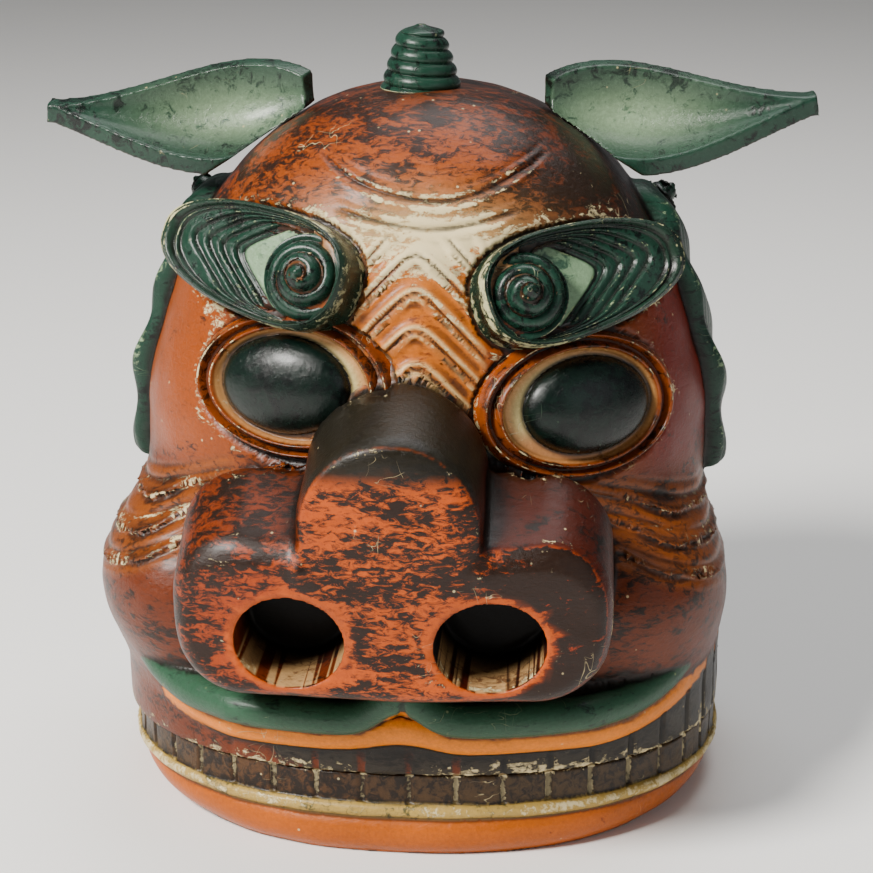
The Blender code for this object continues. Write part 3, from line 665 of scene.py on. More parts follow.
def scratches(g, place):
    """Two sets of scratches that cross, in patches."""
    one = scratch_lines(g, (1.0, 1.0, 2.6), (0.5, 0.7, 0.2), 34, 0.8, 0.5, 0.003, 0.004)
    other = scratch_lines(g, (2.8, 1.0, 1.0), (0.2, 0.4, 1.1), 27, 0.5, 0.47, 0.0025, 0.003)
    gate = g.step(g.noise(place, 23, 3, 0.6), SCRATCH_GATE, 0.05)
    return g.math("MULTIPLY", g.math("MAXIMUM", one, other), gate)


def specks(g, place):
    """Small dots in a few cells of a fine pattern."""
    cells = g.tree.nodes.new("ShaderNodeTexVoronoi")
    g.put(cells.inputs["Vector"], place)
    cells.inputs["Scale"].default_value = SPECK_SCALE
    pick = g.tree.nodes.new("ShaderNodeSeparateColor")
    g.tree.links.new(cells.outputs["Color"], pick.inputs[0])
    spot = g.math("SUBTRACT", 1.0, g.step(cells.outputs["Distance"], SPECK_SIZE, 0.08), clamp=True)
    return g.math("MULTIPLY", spot, g.step(pick.outputs[0], SPECK_LEVEL, 0.02))


def mottled_paint(g, blotch, flakes, grit, cloud, mottle):
    """The paint and the colour mottled into it, with a little light and shade."""
    spread = g.math("MULTIPLY_ADD", blotch, 0.42, g.math("MULTIPLY", flakes, 0.58))
    level = g.math("SUBTRACT", 0.74, g.math("MULTIPLY", mottle, 0.48))
    dark = g.step(spread, level, 0.07)
    colour = g.mix(dark, g.attribute("tint").outputs["Color"], g.attribute("under").outputs["Color"])
    shade = g.math("MULTIPLY_ADD", grit, 0.9, g.math("MULTIPLY_ADD", cloud, 0.7, 0.22))
    grey = g.tree.nodes.new("ShaderNodeCombineColor")
    for socket in grey.inputs:
        g.put(socket, shade)
    return g.mix(1.0, colour, grey.outputs[0], "MULTIPLY")


def lacquer(name, rough=0.36, coat=0.08, grain=(1.0, 1.0, 1.0), fine=1.0):
    """Old lacquer over carved wood: two mottled colours, painted shade in the hollows, bare spots, scratches
    and specks.
    """
    g = Graph(name)
    plain, strokes = g.place(), g.place(scale=grain, turn=(0, 0.3, 0))
    blotch = g.noise(strokes, 52 * fine, 9, 0.66, 0.5)
    flakes = g.noise(strokes, 230 * fine, 7, 0.7, 0.8)
    grit = g.noise(plain, 520, 5, 0.7)
    cloud = g.noise(plain, 17, 4, 0.55)
    mottle, worn, painted_shade, dull = (g.attribute(key).outputs["Fac"] for key in SHARES)
    colour = mottled_paint(g, blotch, flakes, grit, cloud, mottle)
    scratch = scratches(g, plain)
    speck = specks(g, plain)

    ragged = g.math("MULTIPLY_ADD", flakes, 0.9, g.math("MULTIPLY", grit, 0.3))
    patchy = g.math("MULTIPLY", worn, g.math("MULTIPLY_ADD", cloud, 1.9, 0.05))
    bare_level = g.math("SUBTRACT", 0.98, g.math("MULTIPLY", patchy, 0.8))
    chipped = g.step(ragged, bare_level, 0.10)
    shown = g.math("MAXIMUM", chipped, g.math("MULTIPLY", g.math("MAXIMUM", scratch, speck), 0.6))
    colour = g.mix(shown, colour, g.attribute("bare").outputs["Color"])
    # Painted shade: the colour goes towards near black where the third share is high, in hollows and grooves
    painted_shade_amount = g.math("MULTIPLY", painted_shade, g.math("MULTIPLY_ADD", grit, 0.6, 0.6), clamp=True)
    colour = g.mix(painted_shade_amount, colour, (*linear(PAINTED_SHADE_COLOUR), 1))
    g.put(g.shader.inputs["Base Color"], colour)

    roughness = g.math("MULTIPLY_ADD", grit, 0.22, g.math("MULTIPLY_ADD", blotch, 0.16, rough - 0.19))
    roughness = g.math("MULTIPLY_ADD", shown, 0.22, roughness)
    roughness = g.math("MULTIPLY_ADD", dull, 0.42, roughness, clamp=True)
    g.put(g.shader.inputs["Roughness"], roughness)
    height = g.math("MULTIPLY_ADD", flakes, 0.5, g.math("MULTIPLY", grit, 0.22))
    height = g.math("SUBTRACT", height, g.math("MULTIPLY", scratch, 0.35))
    height = g.math("SUBTRACT", height, g.math("MULTIPLY", chipped, 0.3))
    g.bump(height, BUMP_DISTANCE, BUMP_STRENGTH)
    g.shader.inputs["Coat Weight"].default_value = coat
    g.shader.inputs["Coat Roughness"].default_value = COAT_ROUGHNESS
    g.shader.inputs["Specular IOR Level"].default_value = SPECULAR
    return g.material


def finish_piece(obj, coat, material, body, nodes=()):
    """Puts paint and material on a piece and hands it to the frame."""
    coat.put_on(obj.data)
    obj.data.materials.clear()
    obj.data.materials.append(material)
    shade_smooth(obj.data)
    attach(obj, body)
    if nodes:
        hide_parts(*nodes)


# Head


def brow_size(u, v, grown=0.0):
    """1 on the outline of a brow, less inside it. The outer end is lower than the inner one."""
    share = np.clip((u / BROW_HALF[0] + 1) / 2, 0, 1)
    half = BROW_HALF[1] * (1 - BROW_TAPER * share * share) + grown
    return np.abs(u / (BROW_HALF[0] + grown)) ** 2.7 + np.abs(v / half) ** 2.7


def in_patch(p, origin, along, normal, side):
    """Coordinates along, up and out of a patch on one side; far away on the other."""
    q = p.copy()
    q[:, 0] *= side
    q = q - np.asarray(origin, float)
    return [q @ axis for axis in patch_axes(along, normal)]


def eye_place(side, across, up):
    """Origin, along and normal of an eye's patch, as for the right side."""
    front, normal = surface_hit((across, -400, up), (0, 1, 0), plain_face)
    normal = normal * (side, 1, 1)
    origin = front * (side, 1, 1) - normal * EYE_SINK
    return origin, (-normal[1], normal[0], 0), normal


def snail_place(centre):
    foot = np.array(centre) + unit_vector(BROW_ALONG) * SNAIL_ALONG
    return foot, (-SNAIL_NORMAL[1], SNAIL_NORMAL[0], 0), SNAIL_NORMAL


def curl_place(side, depth, height):
    foot, normal = surface_hit((side * 400, depth, height), (-side, 0, 0))
    return foot - normal * 5, normal


def under_blocks(p):
    """Where the head's solid carries brows, snails, eyes and curls, which are pieces of their own here."""
    covered = np.zeros(len(p), bool)
    for _, side, centre in BROWS:
        u, v, w = in_patch(p, centre, BROW_ALONG, BROW_NORMAL, side)
        covered |= (brow_size(u, v, 2.5) < 1) & (w > -34) & (w < 30)
        u, v, w = in_patch(p, *snail_place(centre), side)
        covered |= (np.hypot(u, v) < SNAIL_RADIUS + 2) & (w > -10) & (w < 30)
    for _, side, across, up in EYES:
        u, v, w = in_patch(p, *eye_place(side, across, up), side)
        covered |= (np.hypot(u / (EYE_HALF[0] + 2), v / (EYE_HALF[1] + 2)) < 1) & (np.abs(w) < 18)
    for side in (-1, 1):
        for depth, height in CURLS:
            foot, normal = curl_place(side, depth, height)
            out = (p - foot) @ normal
            away = np.linalg.norm(p - foot - out[:, None] * normal, axis=1)
            covered |= (away < CURL_RADIUS + 1.5) & (out > -5) & (out < 30)
    return covered


def settled(p, normals, field, reach, rounds, kept):
    """Moves outer points onto a fine field, apart from those that are kept where they are."""
    here, slope = slope_of(field, p)
    steep = np.maximum(np.linalg.norm(slope, axis=1), 0.3)
    outer = (np.abs(here) < reach) & ((normals * slope).sum(1) / steep > 0.3) & ~kept
    q = p[outer]
    for _ in range(rounds):
        value, slope = slope_of(field, q)
        steep = np.maximum(np.square(slope).sum(axis=1), 0.16)
        q = q - slope * np.clip(value / steep, -1.2, 1.2)[:, None]
    moved = q - p[outer]
    length = np.linalg.norm(moved, axis=1)
    moved *= np.minimum(1, reach / np.maximum(length, 1e-6))[:, None]
    p = p.copy()
    p[outer] += moved
    return p


def nostril_reach(p):
    """How far each point is from its nostril's edge, as a share of the nostril's size."""
    x = np.abs(p[:, 0] - NOSE_SHIFT) - NOSTRIL_CENTRE[0]
    return np.hypot(x / NOSTRIL_RADII[0], (p[:, 2] - NOSTRIL_CENTRE[1]) / NOSTRIL_RADII[1])


def coat_by_place(coat, p):
    """The crown is darker behind, the sides of the face clearer orange, the muzzle brown; painted shade
    darkens the crown's right half and the face's right side.
    """
    x, y, z = p[:, 0], p[:, 1], p[:, 2]
    coat.blend(window(z, 285, 400, 25) * window(y, 0, 200, 60) * 0.6, tint=RED_BROWN, mottle=0.62)
    coat.blend(window(z, 165, 250, 20) * window(np.abs(x), 90, 200, 20), mottle=0.28)
    # Painted shade: the right half of the crown darker
    crown = window(z, 260, 400, 20) * smooth((x - 10) / 70)
    coat.blend(crown, tint=(66, 24, 6), under=(28, 15, 8), mottle=0.6)
    # Painted shade: the right side of the face darker red-brown
    coat.blend(window(z, 165, 250, 20) * smooth((x - 90) / 30), tint=(96, 18, 2), mottle=0.3)
    coat.blend(window(z, 0, 165, 22), tint=(88, 34, 4), under=(30, 15, 6), mottle=0.42, worn=0.08)
    round_knob = bell(np.hypot(x - KNOB_PLACE[0], y - KNOB_PLACE[1] + MIDDLE[1]), 34)
    coat.blend(round_knob * window(z, 300, 400, 10) * 0.9, tint=(70, 40, 22), under=(34, 20, 12), mottle=0.5)
    pale = bell(x - 4, 42) * bell(z - 286, 17) * window(y, -200, -40, 15)
    coat.blend(pale * 1.15, tint=(170, 140, 90), under=(110, 84, 48), mottle=0.4, worn=0.55)


def coat_of_lines(coat, p):
    """The bridge's arches and the cheeks' folds: pale edges, and painted shade in the grooves."""
    nose_root = bridge_here(p)
    coat.blend(nose_root * 0.9, tint=(168, 88, 12), under=(112, 50, 8), mottle=0.3)
    off = arch_level(p)
    coat.blend(nose_root * 0.75 * bell(np.abs(off) - 2.1, 0.9), tint=(206, 180, 124))
    # Painted shade in the grooves between the arches
    coat.add("painted_shade", nose_root * 0.75 * bell(off, 0.8))
    fold, here = cheek_fold(p)
    coat.blend(here * 0.5, tint=(132, 70, 20), under=(66, 34, 12), mottle=0.42)
    coat.add("worn", here * 0.3 * bell(np.abs(fold) - 2.6, 0.9))
    # Painted shade in the grooves of the cheek folds
    coat.add("painted_shade", 0.7 * here * bell(fold, 0.9))


def coat_of_bands(coat, p, owner):
    """Mane, lip, gum and teeth, each painted in one colour."""
    z = p[:, 2]
    hair = owner == MANE
    coat.blend(hair, tint=GREEN, under=DEEP_GREEN, bare=PALE_GREEN, mottle=0.4, worn=0.1)
    lip = owner == LIPS
    coat.blend(lip, tint=(38, 70, 50), under=(12, 28, 21), bare=(150, 156, 112), mottle=0.32, worn=0.06)
    orange_band = (owner == GUM) & (z > gum_edge(p))
    coat.blend(orange_band, tint=(206, 112, 0), under=(130, 54, 2), mottle=0.16, worn=0.06)
    tooth = (owner == TEETH) | ((owner == GUM) & (z <= gum_edge(p)))
    coat.blend(tooth, tint=SLATE, under=(20, 15, 11), mottle=0.45, worn=0.1)
    # Painted shadow under the gum's lower edge and painted shade in the grooves between the teeth
    coat.add("painted_shade", tooth * (0.9 * bell(z - gum_edge(p), 0.9) + 0.5 * tooth_grooves(p)))


def coat_of_snout(coat, p, normals, snout, near):
    """The snout is brown, its face orange, its lobe's top olive, its right side darker as painted shade."""
    x, z = p[:, 0], p[:, 2]
    lobe = smooth((z - 178) / 22)
    ahead = smooth((-normals[:, 1] - 0.62) / 0.15)
    coat.blend(snout, tint=(98, 36, 4), under=(28, 14, 6), mottle=0.52, worn=0.05)
    # Painted shade: the right side of the snout darker
    coat.blend(snout * smooth((x + 10) / 30), tint=(58, 16, 3), under=(20, 10, 5), mottle=0.4)
    top = snout * smooth((normals[:, 2] - 0.1) / 0.3) * lobe
    coat.blend(top, tint=OLIVE, under=(20, 17, 11), mottle=0.3)
    coat.blend(snout * ahead, tint=(166, 68, 0), under=(30, 15, 6), mottle=0.52)
    coat.blend(snout * ahead * smooth((-30 - x) / 30), tint=(134, 48, 0), mottle=0.56)
    coat.blend(snout * ahead * smooth((x - 10) / 60), mottle=0.74, tint=(132, 42, 0))
    coat.blend(snout * ahead * window(z, 205, 400, 10), tint=OLIVE, under=(20, 17, 11), mottle=0.4)
    rim = snout * ahead * window(near, 0, 1.1, 0.07)
    coat.blend(rim, tint=(160, 66, 2), under=(104, 38, 4), mottle=0.3, worn=0.04)


def coat_of_cuts(coat, p, normals, depth, near):
    """Bare wood inside and at the back edge; nostril pits painted near black as painted shade, with pale bare
    wood low in them. Returns where the paint is left.
    """
    y, z = p[:, 1], p[:, 2]
    inside = (depth < -4) & (near > 1.12)
    coat.blend(inside, **INSIDE)
    cut = (normals[:, 1] > 0.9) & (y > BACK - 3) | (z < MOUTH_LEVEL + 0.6) & (normals[:, 2] < -0.8)
    coat.blend(cut, tint=(104, 68, 36), under=(54, 34, 18), bare=WOOD, mottle=0.5, worn=0.2, dull=0.6)
    # Painted shade: the nostril pits are painted near black, apart from the pale wood of their lower floor
    shaded_pit = (near < 1.12) & (depth < -1.5) & (y < -60)
    coat.blend(shaded_pit, tint=PIT_SHADE_BLACK, under=PIT_SHADE_BLACK, bare=PIT_SHADE_BLACK, mottle=0.3, worn=0.0, dull=0.9)
    broken = NOSTRIL_CENTRE[1] - 6 - 40 * smooth((y - NOSE_FRONT - NOSTRIL_DEPTH + 10) / 8)
    low_wall = shaded_pit & (z < broken + 2.5 * waver(p, 3.0, 10) + 1.5 * waver(p, 1.2, 14))
    coat.blend(low_wall, tint=WOOD, under=(104, 68, 36), bare=CREAM, mottle=0.45, worn=0.4)
    return ~(inside | shaded_pit)


def coat_of_head(p, normals, relief, broad):
    """Paint for the head's skin by place, by what is carved there and by how it stands out."""
    parts = np.array(head_parts(p))
    owner = parts.argmin(0)
    near = nostril_reach(p)
    coat = Coat(len(p), ORANGE, DARK_BROWN, CREAM, mottle=0.46, worn=0.12)
    coat_by_place(coat, p)
    coat_of_lines(coat, p)
    coat_of_bands(coat, p, owner)
    coat_of_snout(coat, p, normals, owner == NOSE, near)
    painted = coat_of_cuts(coat, p, normals, parts.min(0), near)
    carved = painted * np.where(owner == LIPS, 0.5, 1.0) * smooth((near - 1.1) / 0.2)
    coat.add("worn", carved * 0.22 * smooth((relief - 0.12) / 0.4))
    coat.add("worn", painted * 0.08 * smooth((broad - 0.7) / 1.2))
    # Painted shade: darker in the hollows and grooves of the carving, fine and broad
    coat.add("painted_shade", painted * 0.75 * smooth((-relief - 0.06) / 0.28))
    coat.add("painted_shade", painted * 0.45 * smooth((-broad - 0.5) / 1.2))
    return coat


def make_head(material):
    head = dense_copy("head_carving", "head", HEAD_VOXEL)
    p = to_carving(points_of(head.data))
    normals = normals_of(head.data)
    covered = under_blocks(p)
    p = settled(p, normals, head_field, 5.0, 5, covered)
    p[covered] -= 2.6 * normals[covered]
    set_points(head.data, to_metres(p))
    thinned(head, MOST_TRIANGLES)
    p = to_carving(points_of(head.data))
    coat = coat_of_head(p, normals_of(head.data), relief_of(head.data, 6), relief_of(head.data, 40))
    finish_piece(head, coat, material, "head", ["head"])


# Brows, eyes and curls


def coil(radius, height, tip, turns, side, rings, sectors, foot):
    """Rings of points of a snail shell: a coiled ridge that climbs to the tip, then its skirt."""
    turn = np.linspace(0, 2 * pi, sectors, endpoint=False)
    rows = []
    for s in np.linspace(0.02, 1, rings):
        phase = s * turns - side * turn / (2 * pi)
        ridge = np.abs(np.sin(pi * phase)) ** 0.7
        r = tip * 0.2 + (radius - tip * 0.2) * s + 0.8 * (ridge - 0.6) * smooth(s * 5)
        h = height * (1 - s ** 0.9) + 2.9 * (ridge - 0.72) * smooth(s * 4)
        rows.append(np.stack([r * np.cos(turn), r * np.sin(turn), h], axis=1))
    for drop in np.linspace(0, 1, 4)[1:]:
        last = rows[rings - 1].copy()
        last[:, 2] += (foot - last[:, 2]) * drop
        rows.append(last)
    return np.array(rows)


def placed_grid(grid, origin, along, normal, side):
    axes = np.array(patch_axes(along, normal))
    p = grid @ axes + np.asarray(origin, float)
    p[..., 0] *= side
    return to_metres(p)


def brow_edge(turn):
    """Distance from the snail's middle to the brow's outline in each direction."""
    reach = np.full(len(turn), 120.0)
    step = 60.0
    while step > 0.01:
        u = SNAIL_ALONG + reach * np.cos(turn)
        v = reach * np.sin(turn)
        reach = np.where(brow_size(u, v) < 1, reach + step, reach - step)
        step /= 2
    return reach


def brow_layer(s, along, up):
    """Where a point lies between snail and rim: chevrons that point outwards, then rings."""
    chevron = (along + 1.5 * (np.hypot(up - 2, 4) - 4)) / (BROW_HALF[0] - SNAIL_ALONG)
    ringed = np.maximum(smooth((s - 0.72) / 0.2), smooth(-along / 12))
    return chevron + (s - chevron) * ringed


def brow_height(s, layer):
    """Height over the brow's patch: smooth facet by the snail, then layers that step up to the rim."""
    steps = np.clip((layer - BROW_FACET) / (0.91 - BROW_FACET), 0, 1) * BROW_LAYERS
    whole = np.floor(np.minimum(steps, BROW_LAYERS - 1e-6))
    part = steps - whole
    edge = smooth((part - 0.66) / 0.22)
    rise = 1.65 * (whole + edge) - 1.1 * part * (1 - edge) - 0.5 * edge * smooth((part - 0.9) / 0.1)
    facet = -5.4 + 1.0 * smooth(layer / BROW_FACET) - 1.3 * bell(layer - BROW_FACET - 0.015, 0.012)
    rim = 1.8 * bell(s - 0.955, 0.028) - 1.3 * bell(s - 0.908, 0.013)
    return facet + rise + rim


def make_brow(name, side, centre, material):
    rings, sectors = ((110, 260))
    turn = np.linspace(0, 2 * pi, sectors, endpoint=False)
    edge = brow_edge(turn)
    rows = []
    layers = []
    for s in np.linspace(0.05, 1, rings):
        along, up = s * edge * np.cos(turn), s * edge * np.sin(turn)
        layers.append(brow_layer(np.full(sectors, s), along, up))
        rows.append(np.stack([SNAIL_ALONG + along, up, brow_height(s, layers[-1])], axis=1))
    for drop, out in BROW_SKIRT:
        row = rows[rings - 1].copy()
        row[:, 0] += out * np.cos(turn)
        row[:, 1] += out * np.sin(turn)
        row[:, 2] = drop
        rows.append(row)
    grid = np.array(rows)
    flat = grid.reshape(-1, 3)
    grid[..., 2] += (0.35 * waver(flat, 7.0, side + 3)).reshape(grid.shape[:2])
    place = placed_grid(grid, centre, BROW_ALONG, BROW_NORMAL, side)
    brow = new_object("brow_" + name, polar_mesh("brow_" + name, place))
    skirt = len(BROW_SKIRT)
    shares = np.append(np.linspace(0.05, 1, rings), [1.02] * skirt)
    s = np.concatenate([[0], np.repeat(shares, sectors), [1.1]])
    layer = np.concatenate([[0], np.concatenate(layers), np.ones(skirt * sectors + 1)])
    relief = relief_of(brow.data, 4)
    coat = Coat(len(s), GREEN, DEEP_GREEN, (140, 156, 116), mottle=0.42, worn=0.08)
    # Painted sheen: the smooth facet by the snail is pale green
    facet = 1 - smooth((layer - BROW_FACET + 0.02) / 0.03)
    coat.blend(facet * 0.9, tint=(118, 146, 112), under=(50, 82, 62), mottle=0.34, worn=0.28)
    outer = smooth((s - 0.8) / 0.15)
    coat.blend(outer * 0.5, tint=(24, 34, 24), bare=CREAM)
    coat.add("worn", 0.34 * smooth((relief - 0.04) / 0.2))
    # Painted shade in the hollows between the brow's layers
    coat.add("painted_shade", 0.8 * smooth((-relief - 0.03) / 0.16))
    finish_piece(brow, coat, material, "head")


def make_snail(name, side, centre, material):
    rings, sectors = ((80, 110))
    grid = coil(SNAIL_RADIUS, SNAIL_HEIGHT, 3.0, 3.2, side, rings, sectors, -12.0)
    mesh = polar_mesh(name, placed_grid(grid, *snail_place(centre), side))
    coil_piece(name, mesh, material)


def coil_piece(name, mesh, material, nodes=()):
    """A coiled green piece of the head, pale on its ridges, with painted shade between them."""
    obj = new_object(name, mesh)
    relief = relief_of(mesh, 5)
    coat = Coat(len(mesh.vertices), GREEN, DEEP_GREEN, (158, 160, 124), mottle=0.42, worn=0.08)
    coat.add("worn", 0.34 * smooth((relief - 0.06) / 0.3))
    coat.add("painted_shade", 0.85 * smooth((-relief - 0.03) / 0.2))
    finish_piece(obj, coat, material, "head", nodes)


def eye_height(u, v, share):
    """Height over the eye's patch, and the share of the way to the dome's edge: dome, white and two rims."""
    dome = np.hypot((u - DOME_SHIFT) / DOME_HALF[0], v / DOME_HALF[1])
    ball = DOME_HEIGHT * np.sqrt(np.clip(1 - dome ** 2, 0, 1)) ** 0.85
    white = 1.6 * (1 - (share / 0.74) ** 2)
    rims = 4.6 * bell(share - 0.80, 0.045) + 3.4 * bell(share - 0.935, 0.035)
    rims = rims - 1.8 * bell(share - 0.868, 0.02)
    drop = -3.0 * smooth((share - 0.96) / 0.05)
    return np.maximum(white, -0.5) * (share < 0.74) + np.maximum(ball - 0.5, 0) + rims + drop, dome


def coat_of_eye(share, dome, v, relief):
    coat = Coat(len(share), (186, 168, 112), (140, 96, 46), CREAM, mottle=0.3, worn=0.22)
    low = smooth((-v - 4) / 12)
    amber = np.maximum(smooth((share - 0.60) / 0.12) * 0.6, low * 0.7)
    coat.blend(amber, tint=(160, 76, 18), under=(92, 42, 12))
    coat.blend(dome < 1.02, tint=(8, 22, 17), under=(4, 9, 8), bare=(90, 112, 88), mottle=0.45, worn=0.0)
    # Painted shade round the foot of the dome
    coat.add("painted_shade", 0.9 * bell(dome - 1.03, 0.035))
    rim = smooth((share - 0.76) / 0.02)
    coat.blend(rim, tint=(112, 50, 8), under=(44, 22, 8), mottle=0.45, worn=0.08)
    coat.blend(smooth((share - 0.97) / 0.02), tint=ORANGE, under=RED_BROWN, mottle=0.3)
    coat.add("worn", (share > 0.7) * 0.32 * smooth((relief - 0.1) / 0.3))
    # Painted shade in the hollows of the rims
    coat.add("painted_shade", (share > 0.7) * 0.8 * smooth((-relief - 0.04) / 0.2))
    return coat


def make_eye(name, side, across, up, material):
    rings, sectors = ((96, 200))
    origin, along, normal = eye_place(side, across, up)
    turn = np.linspace(0, 2 * pi, sectors, endpoint=False)
    shares = np.linspace(0.015, 1, rings)
    u = np.outer(shares, np.cos(turn)) * EYE_HALF[0]
    v = np.outer(shares, np.sin(turn)) * EYE_HALF[1]
    share = np.repeat(shares[:, None], sectors, axis=1)
    share = share + 0.012 * np.sin(turn * 3 + side)[None] * share
    h, dome = eye_height(u, v, share)
    rows = [np.stack([u[i], v[i], h[i]], axis=1) for i in range(rings)]
    for depth in EYE_SKIRT:
        row = rows[rings - 1].copy()
        row[:, 2] = depth
        rows.append(row)
    place = placed_grid(np.array(rows), origin, along, normal, side)
    eye = new_object("eye_" + name, polar_mesh("eye_" + name, place))

    def over(values, skirt):
        return np.concatenate([values[0, :1], values.ravel(), np.full(len(EYE_SKIRT) * sectors + 1, skirt)])

    coat = coat_of_eye(over(share, 1.1), over(dome, 3.0), over(v, 0.0), relief_of(eye.data, 5))
    finish_piece(eye, coat, material, "head")


def make_curl(name, side, depth, height, material):
    rings, sectors = ((46, 72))
    foot, normal = curl_place(side, depth, height)
    grid = coil(CURL_RADIUS, CURL_HEIGHT, 3.0, 2.6, side, rings, sectors, -10.0)
    turn = Vector((0, 0, 1)).rotation_difference(Vector(normal)).to_matrix()
    p = grid @ np.array(turn).T + foot
    coil_piece(name, polar_mesh(name, to_metres(p)), material)


def make_knob(material):
    """The crown knob: coiled rings that narrow upwards, on the flat of its solid."""
    rings, sectors = ((150, 110))
    base = (np.array(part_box("crown_knob")[1]) / MM)[2] - KNOB_HEIGHT
    turn = np.linspace(0, 2 * pi, sectors, endpoint=False)
    rows = []
    for s in np.linspace(0.0, 1, rings):
        phase = s * KNOB_TURNS - turn / (2 * pi)
        ridge = np.abs(np.sin(pi * phase)) ** 0.55
        profile = 2.0 + 6.0 * smooth(s * 9) + (KNOB_RADIUS - 9.0) * s ** 0.75
        r = profile + 1.9 * (ridge - 0.55) * smooth(s * 8)
        z = base + KNOB_HEIGHT * (1 - s)
        x, y = KNOB_PLACE[0] + r * np.cos(turn), KNOB_PLACE[1] + r * np.sin(turn)
        rows.append(np.stack([x, y, np.full(sectors, z)], 1))
    mesh = polar_mesh("knob", np.array(rows) * MM)
    coil_piece("crown_knob_carving", mesh, material, ["crown_knob"])


# Jaw, ears and axle


def coat_of_jaw(p, relief):
    """Paint for the jaw: lip, gum ridge and teeth, and bare wood behind them."""
    parts = np.array(jaw_parts(p))
    owner, depth = parts.argmin(0), parts.min(0)
    coat = Coat(len(p), TOOTH_BROWN, (26, 17, 10), CREAM, mottle=0.5, worn=0.1)
    coat.blend(bell(p[:, 0] + 60, 60) * 0.5, tint=(74, 42, 18))
    coat.blend(owner == JAW_RIDGE, tint=(160, 132, 66), under=(74, 68, 34), mottle=0.4, worn=0.25)
    coat.blend(owner == JAW_LIP, tint=(160, 76, 0), under=(100, 34, 2), mottle=0.24, worn=0.05)
    coat.add("worn", (owner == JAW_TEETH) * 0.4 * tooth_grooves(p) * smooth((p[:, 2] - 22) / 6))
    inside = (depth < -3.5) | (p[:, 1] > 48)
    coat.blend(inside, **INSIDE)
    # Painted shade in the hollows of lip, ridge and teeth
    coat.add("painted_shade", ~inside * 0.8 * smooth((-relief - 0.05) / 0.25))
    coat.add("worn", ~inside * 0.2 * smooth((relief - 0.10) / 0.35))
    return coat


def make_jaw(material):
    jaw = dense_copy("jaw_carving", "lower_jaw", JAW_VOXEL)
    p = to_carving(points_of(jaw.data))
    normals = normals_of(jaw.data)
    kept = (p[:, 2] < 0.8) | (p[:, 2] > MOUTH_LEVEL - 1.2) | (p[:, 1] > 40)
    p = settled(p, normals, jaw_field, 4.0, 5, kept)
    p[:, 2] = np.clip(p[:, 2], 0.0, None)
    set_points(jaw.data, to_metres(p))
    thinned(jaw, MOST_TRIANGLES)
    p = to_carving(points_of(jaw.data))
    coat = coat_of_jaw(p, relief_of(jaw.data, 6))
    finish_piece(jaw, coat, material, "jaw", ["lower_jaw"])


def ear_width(s):
    return max(sin(pi * s ** 0.62), 0) ** 1.3


def ear_point(s, t, depth=0.0):
    half = max(ear_width(s), 0.03) * EAR_WIDTH / 2
    scoop = EAR_SCOOP * (t * t - 1) * half * 2 / EAR_WIDTH
    return np.array((s * EAR_LENGTH, t * half - EAR_SAG * sin(pi * s), scoop + 12 * s * s - depth))


def ear_leaf(name):
    """A scooped leaf of even thickness, in the ear's own place."""
    segments, rows = 64, 20
    bm = bmesh.new()
    bmesh.ops.create_grid(bm, x_segments=segments, y_segments=rows, size=1)
    for vert in bm.verts:
        vert.co = ear_point(0.53 + 0.47 * vert.co.x, vert.co.y)
    mesh = bpy.data.meshes.new("ear")
    bm.to_mesh(mesh)
    bm.free()
    ear = new_object("ear_" + name + "_carving", mesh)
    shell = ear.modifiers.new("Thickness", "SOLIDIFY")
    shell.thickness = EAR_THICKNESS
    shell.offset = -1
    bake(ear)
    return ear


def cut_off(mesh, point, normal):
    """Cuts off what lies behind a plane and closes the cut."""
    bm = bmesh.new()
    bm.from_mesh(mesh)
    cut = bmesh.ops.bisect_plane(bm, geom=bm.verts[:] + bm.edges[:] + bm.faces[:],
                                 plane_co=point, plane_no=normal, clear_inner=True)
    edges = [e for e in cut["geom_cut"] if isinstance(e, bmesh.types.BMEdge)]
    bmesh.ops.holes_fill(bm, edges=edges, sides=0)
    bmesh.ops.recalc_face_normals(bm, faces=bm.faces)
    bm.to_mesh(mesh)
    bm.free()


def coat_of_ear(q, normals, relief):
    """Paint for an ear, by places and normals in its own axes."""
    face = smooth((normals[:, 2] - 0.2) / 0.4)
    coat = Coat(len(q), GREEN, DEEP_GREEN, (180, 168, 124), mottle=0.42, worn=0.08)
    # Painted sheen: a pale green patch in the middle of the scoop's face
    scoop = face * bell(q[:, 0] - 46, 34) * bell(q[:, 1] + 4, 13)
    coat.blend(scoop * 0.8, tint=(128, 150, 118), under=(54, 84, 64), mottle=0.3)
    behind = (1 - face) * smooth((np.abs(relief) - 0.02) / 0.2)
    coat.blend(behind * 0.8, tint=(56, 30, 16), under=(24, 15, 9))
    coat.add("worn", 0.3 * smooth((relief - 0.25) / 0.4))
    return coat


def make_ear(name, side, tilt, material):
    """A scooped leaf, cut along the skull as its solid is, with its edges worn round."""
    ear = ear_leaf(name)
    foot, normal = surface_hit((side * EAR_SEAT[0], EAR_SEAT[1] - MIDDLE[1], 560), (0, 0, -1))
    axes = np.array(patch_axes((1, EAR_FORWARD, tilt), EAR_NORMAL)) * (side, 1, 1)
    seat = ear_point(EAR_SEAT_SHARE, EAR_SEAT_ACROSS, EAR_THICKNESS / 2)
    set_points(ear.data, to_metres((points_of(ear.data) - seat) @ axes + foot))
    cut_off(ear.data, to_metres(foot + normal * 0.3), normal)
    remeshed(ear, EAR_VOXEL)
    relax = ear.modifiers.new("Worn edges", "SMOOTH")
    relax.factor = 0.5
    relax.iterations = 5
    bake(ear)
    own_axes = np.linalg.inv(axes)
    q = (to_carving(points_of(ear.data)) - foot) @ own_axes + seat
    coat = coat_of_ear(q, normals_of(ear.data) @ own_axes, relief_of(ear.data, 6))
    finish_piece(ear, coat, material, "head", ["ear_" + name])


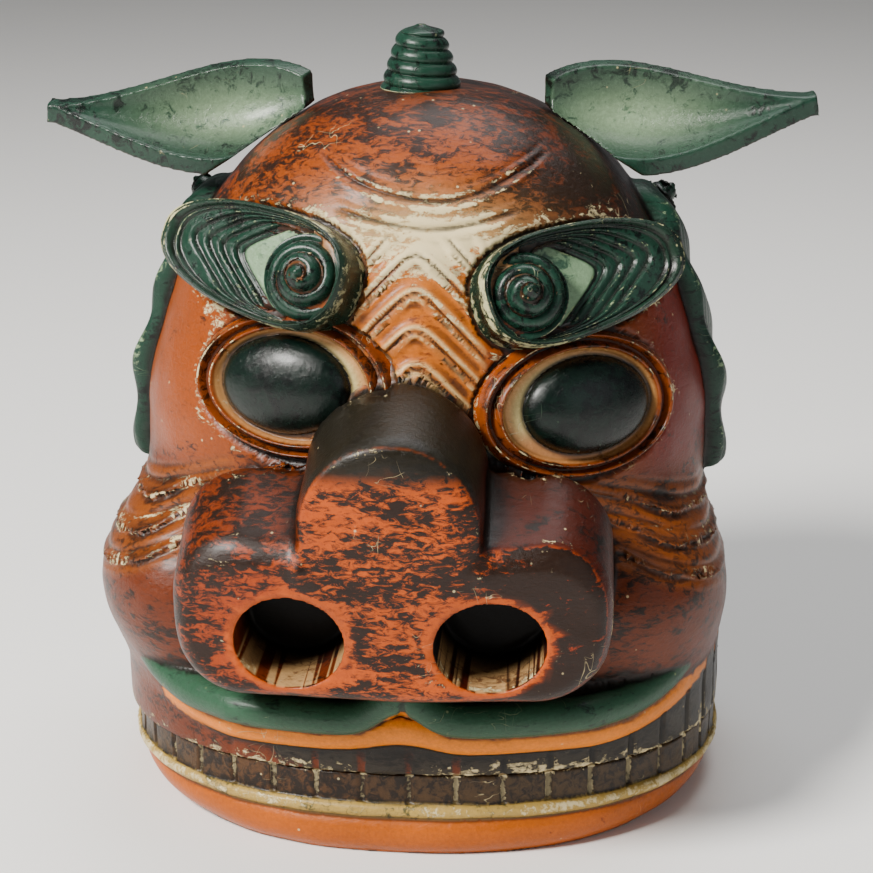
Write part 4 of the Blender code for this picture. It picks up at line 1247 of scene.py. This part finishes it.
def dress_axle(material):
    """The pivot rod keeps its solid and takes worn wood."""
    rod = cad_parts["jaw_axle"]
    rod.data.materials.clear()
    rod.data.materials.append(material)


def wood(name):
    g = Graph(name)
    grain = g.noise(g.place(scale=(0.12, 1.0, 1.0)), 420, 6, 0.6, 0.4)
    cloud = g.noise(g.place(), 30, 4)
    mixed = g.math("MULTIPLY_ADD", grain, 0.7, g.math("MULTIPLY", cloud, 0.4))
    colour = g.mix(g.step(mixed, 0.55, 0.35), (*linear((70, 46, 28)), 1), (*linear((150, 112, 72)), 1))
    g.put(g.shader.inputs["Base Color"], colour)
    g.put(g.shader.inputs["Roughness"], g.math("MULTIPLY_ADD", grain, 0.3, 0.45))
    g.bump(grain, 0.0004)
    return g.material


# Floor, light and camera


def make_floor():
    bpy.ops.mesh.primitive_plane_add(size=FLOOR_SIZE)
    floor = bpy.context.object
    floor.name = "floor"
    g = Graph("pale_floor")
    g.shader.inputs["Base Color"].default_value = FLOOR_COLOUR
    g.shader.inputs["Roughness"].default_value = FLOOR_ROUGHNESS
    floor.data.materials.append(g.material)


def area_light(name, place, size, power, colour):
    light = bpy.data.lights.new(name, "AREA")
    light.shape = "DISK"
    light.size = size
    light.energy = power
    light.color = colour
    obj = bpy.data.objects.new(name, light)
    bpy.context.scene.collection.objects.link(obj)
    obj.location = place
    obj.rotation_euler = (Vector(place) - Vector(LIGHT_AIM)).to_track_quat("Z", "Y").to_euler()


def make_lights():
    for light in LIGHTS:
        area_light(*light)
    world = bpy.data.worlds.new("studio")
    bpy.context.scene.world = world
    world.use_nodes = True
    background = world.node_tree.nodes["Background"]
    background.inputs[0].default_value = WORLD_COLOUR
    background.inputs[1].default_value = WORLD_STRENGTH


def make_camera():
    data = bpy.data.cameras.new("camera")
    data.sensor_width = SENSOR_WIDTH
    data.lens = CAMERA_LENS
    camera = bpy.data.objects.new("camera", data)
    bpy.context.scene.collection.objects.link(camera)
    level = cos(CAMERA_ELEVATION)
    back = Vector((sin(CAMERA_AZIMUTH) * level, -cos(CAMERA_AZIMUTH) * level, sin(CAMERA_ELEVATION)))
    camera.location = Vector(CAMERA_TARGET) + back * CAMERA_DISTANCE
    camera.rotation_euler = back.to_track_quat("Z", "Y").to_euler()
    bpy.context.scene.camera = camera


def main():
    make_camera()
    make_lights()
    make_floor()
    face = lacquer("face_lacquer", grain=(0.62, 1.0, 1.5))
    green = lacquer("green_lacquer", rough=0.25, coat=0.16, fine=0.8)
    orange = lacquer("orange_lacquer", rough=0.38, coat=0.08)
    make_head(face)
    for name, side, centre in BROWS:
        make_brow(name, side, centre, green)
        make_snail("snail_" + name, side, centre, green)
    for name, side, across, up in EYES:
        make_eye(name, side, across, up, green)
    for name, side in (("left", -1), ("right", 1)):
        for count, (depth, height) in enumerate(CURLS, 1):
            make_curl(f"curl_{name}_{count}", side, depth, height, green)
    make_knob(green)
    make_jaw(orange)
    for name, side, tilt in EARS:
        make_ear(name, side, tilt, green)
    dress_axle(wood("worn_wood"))


main()
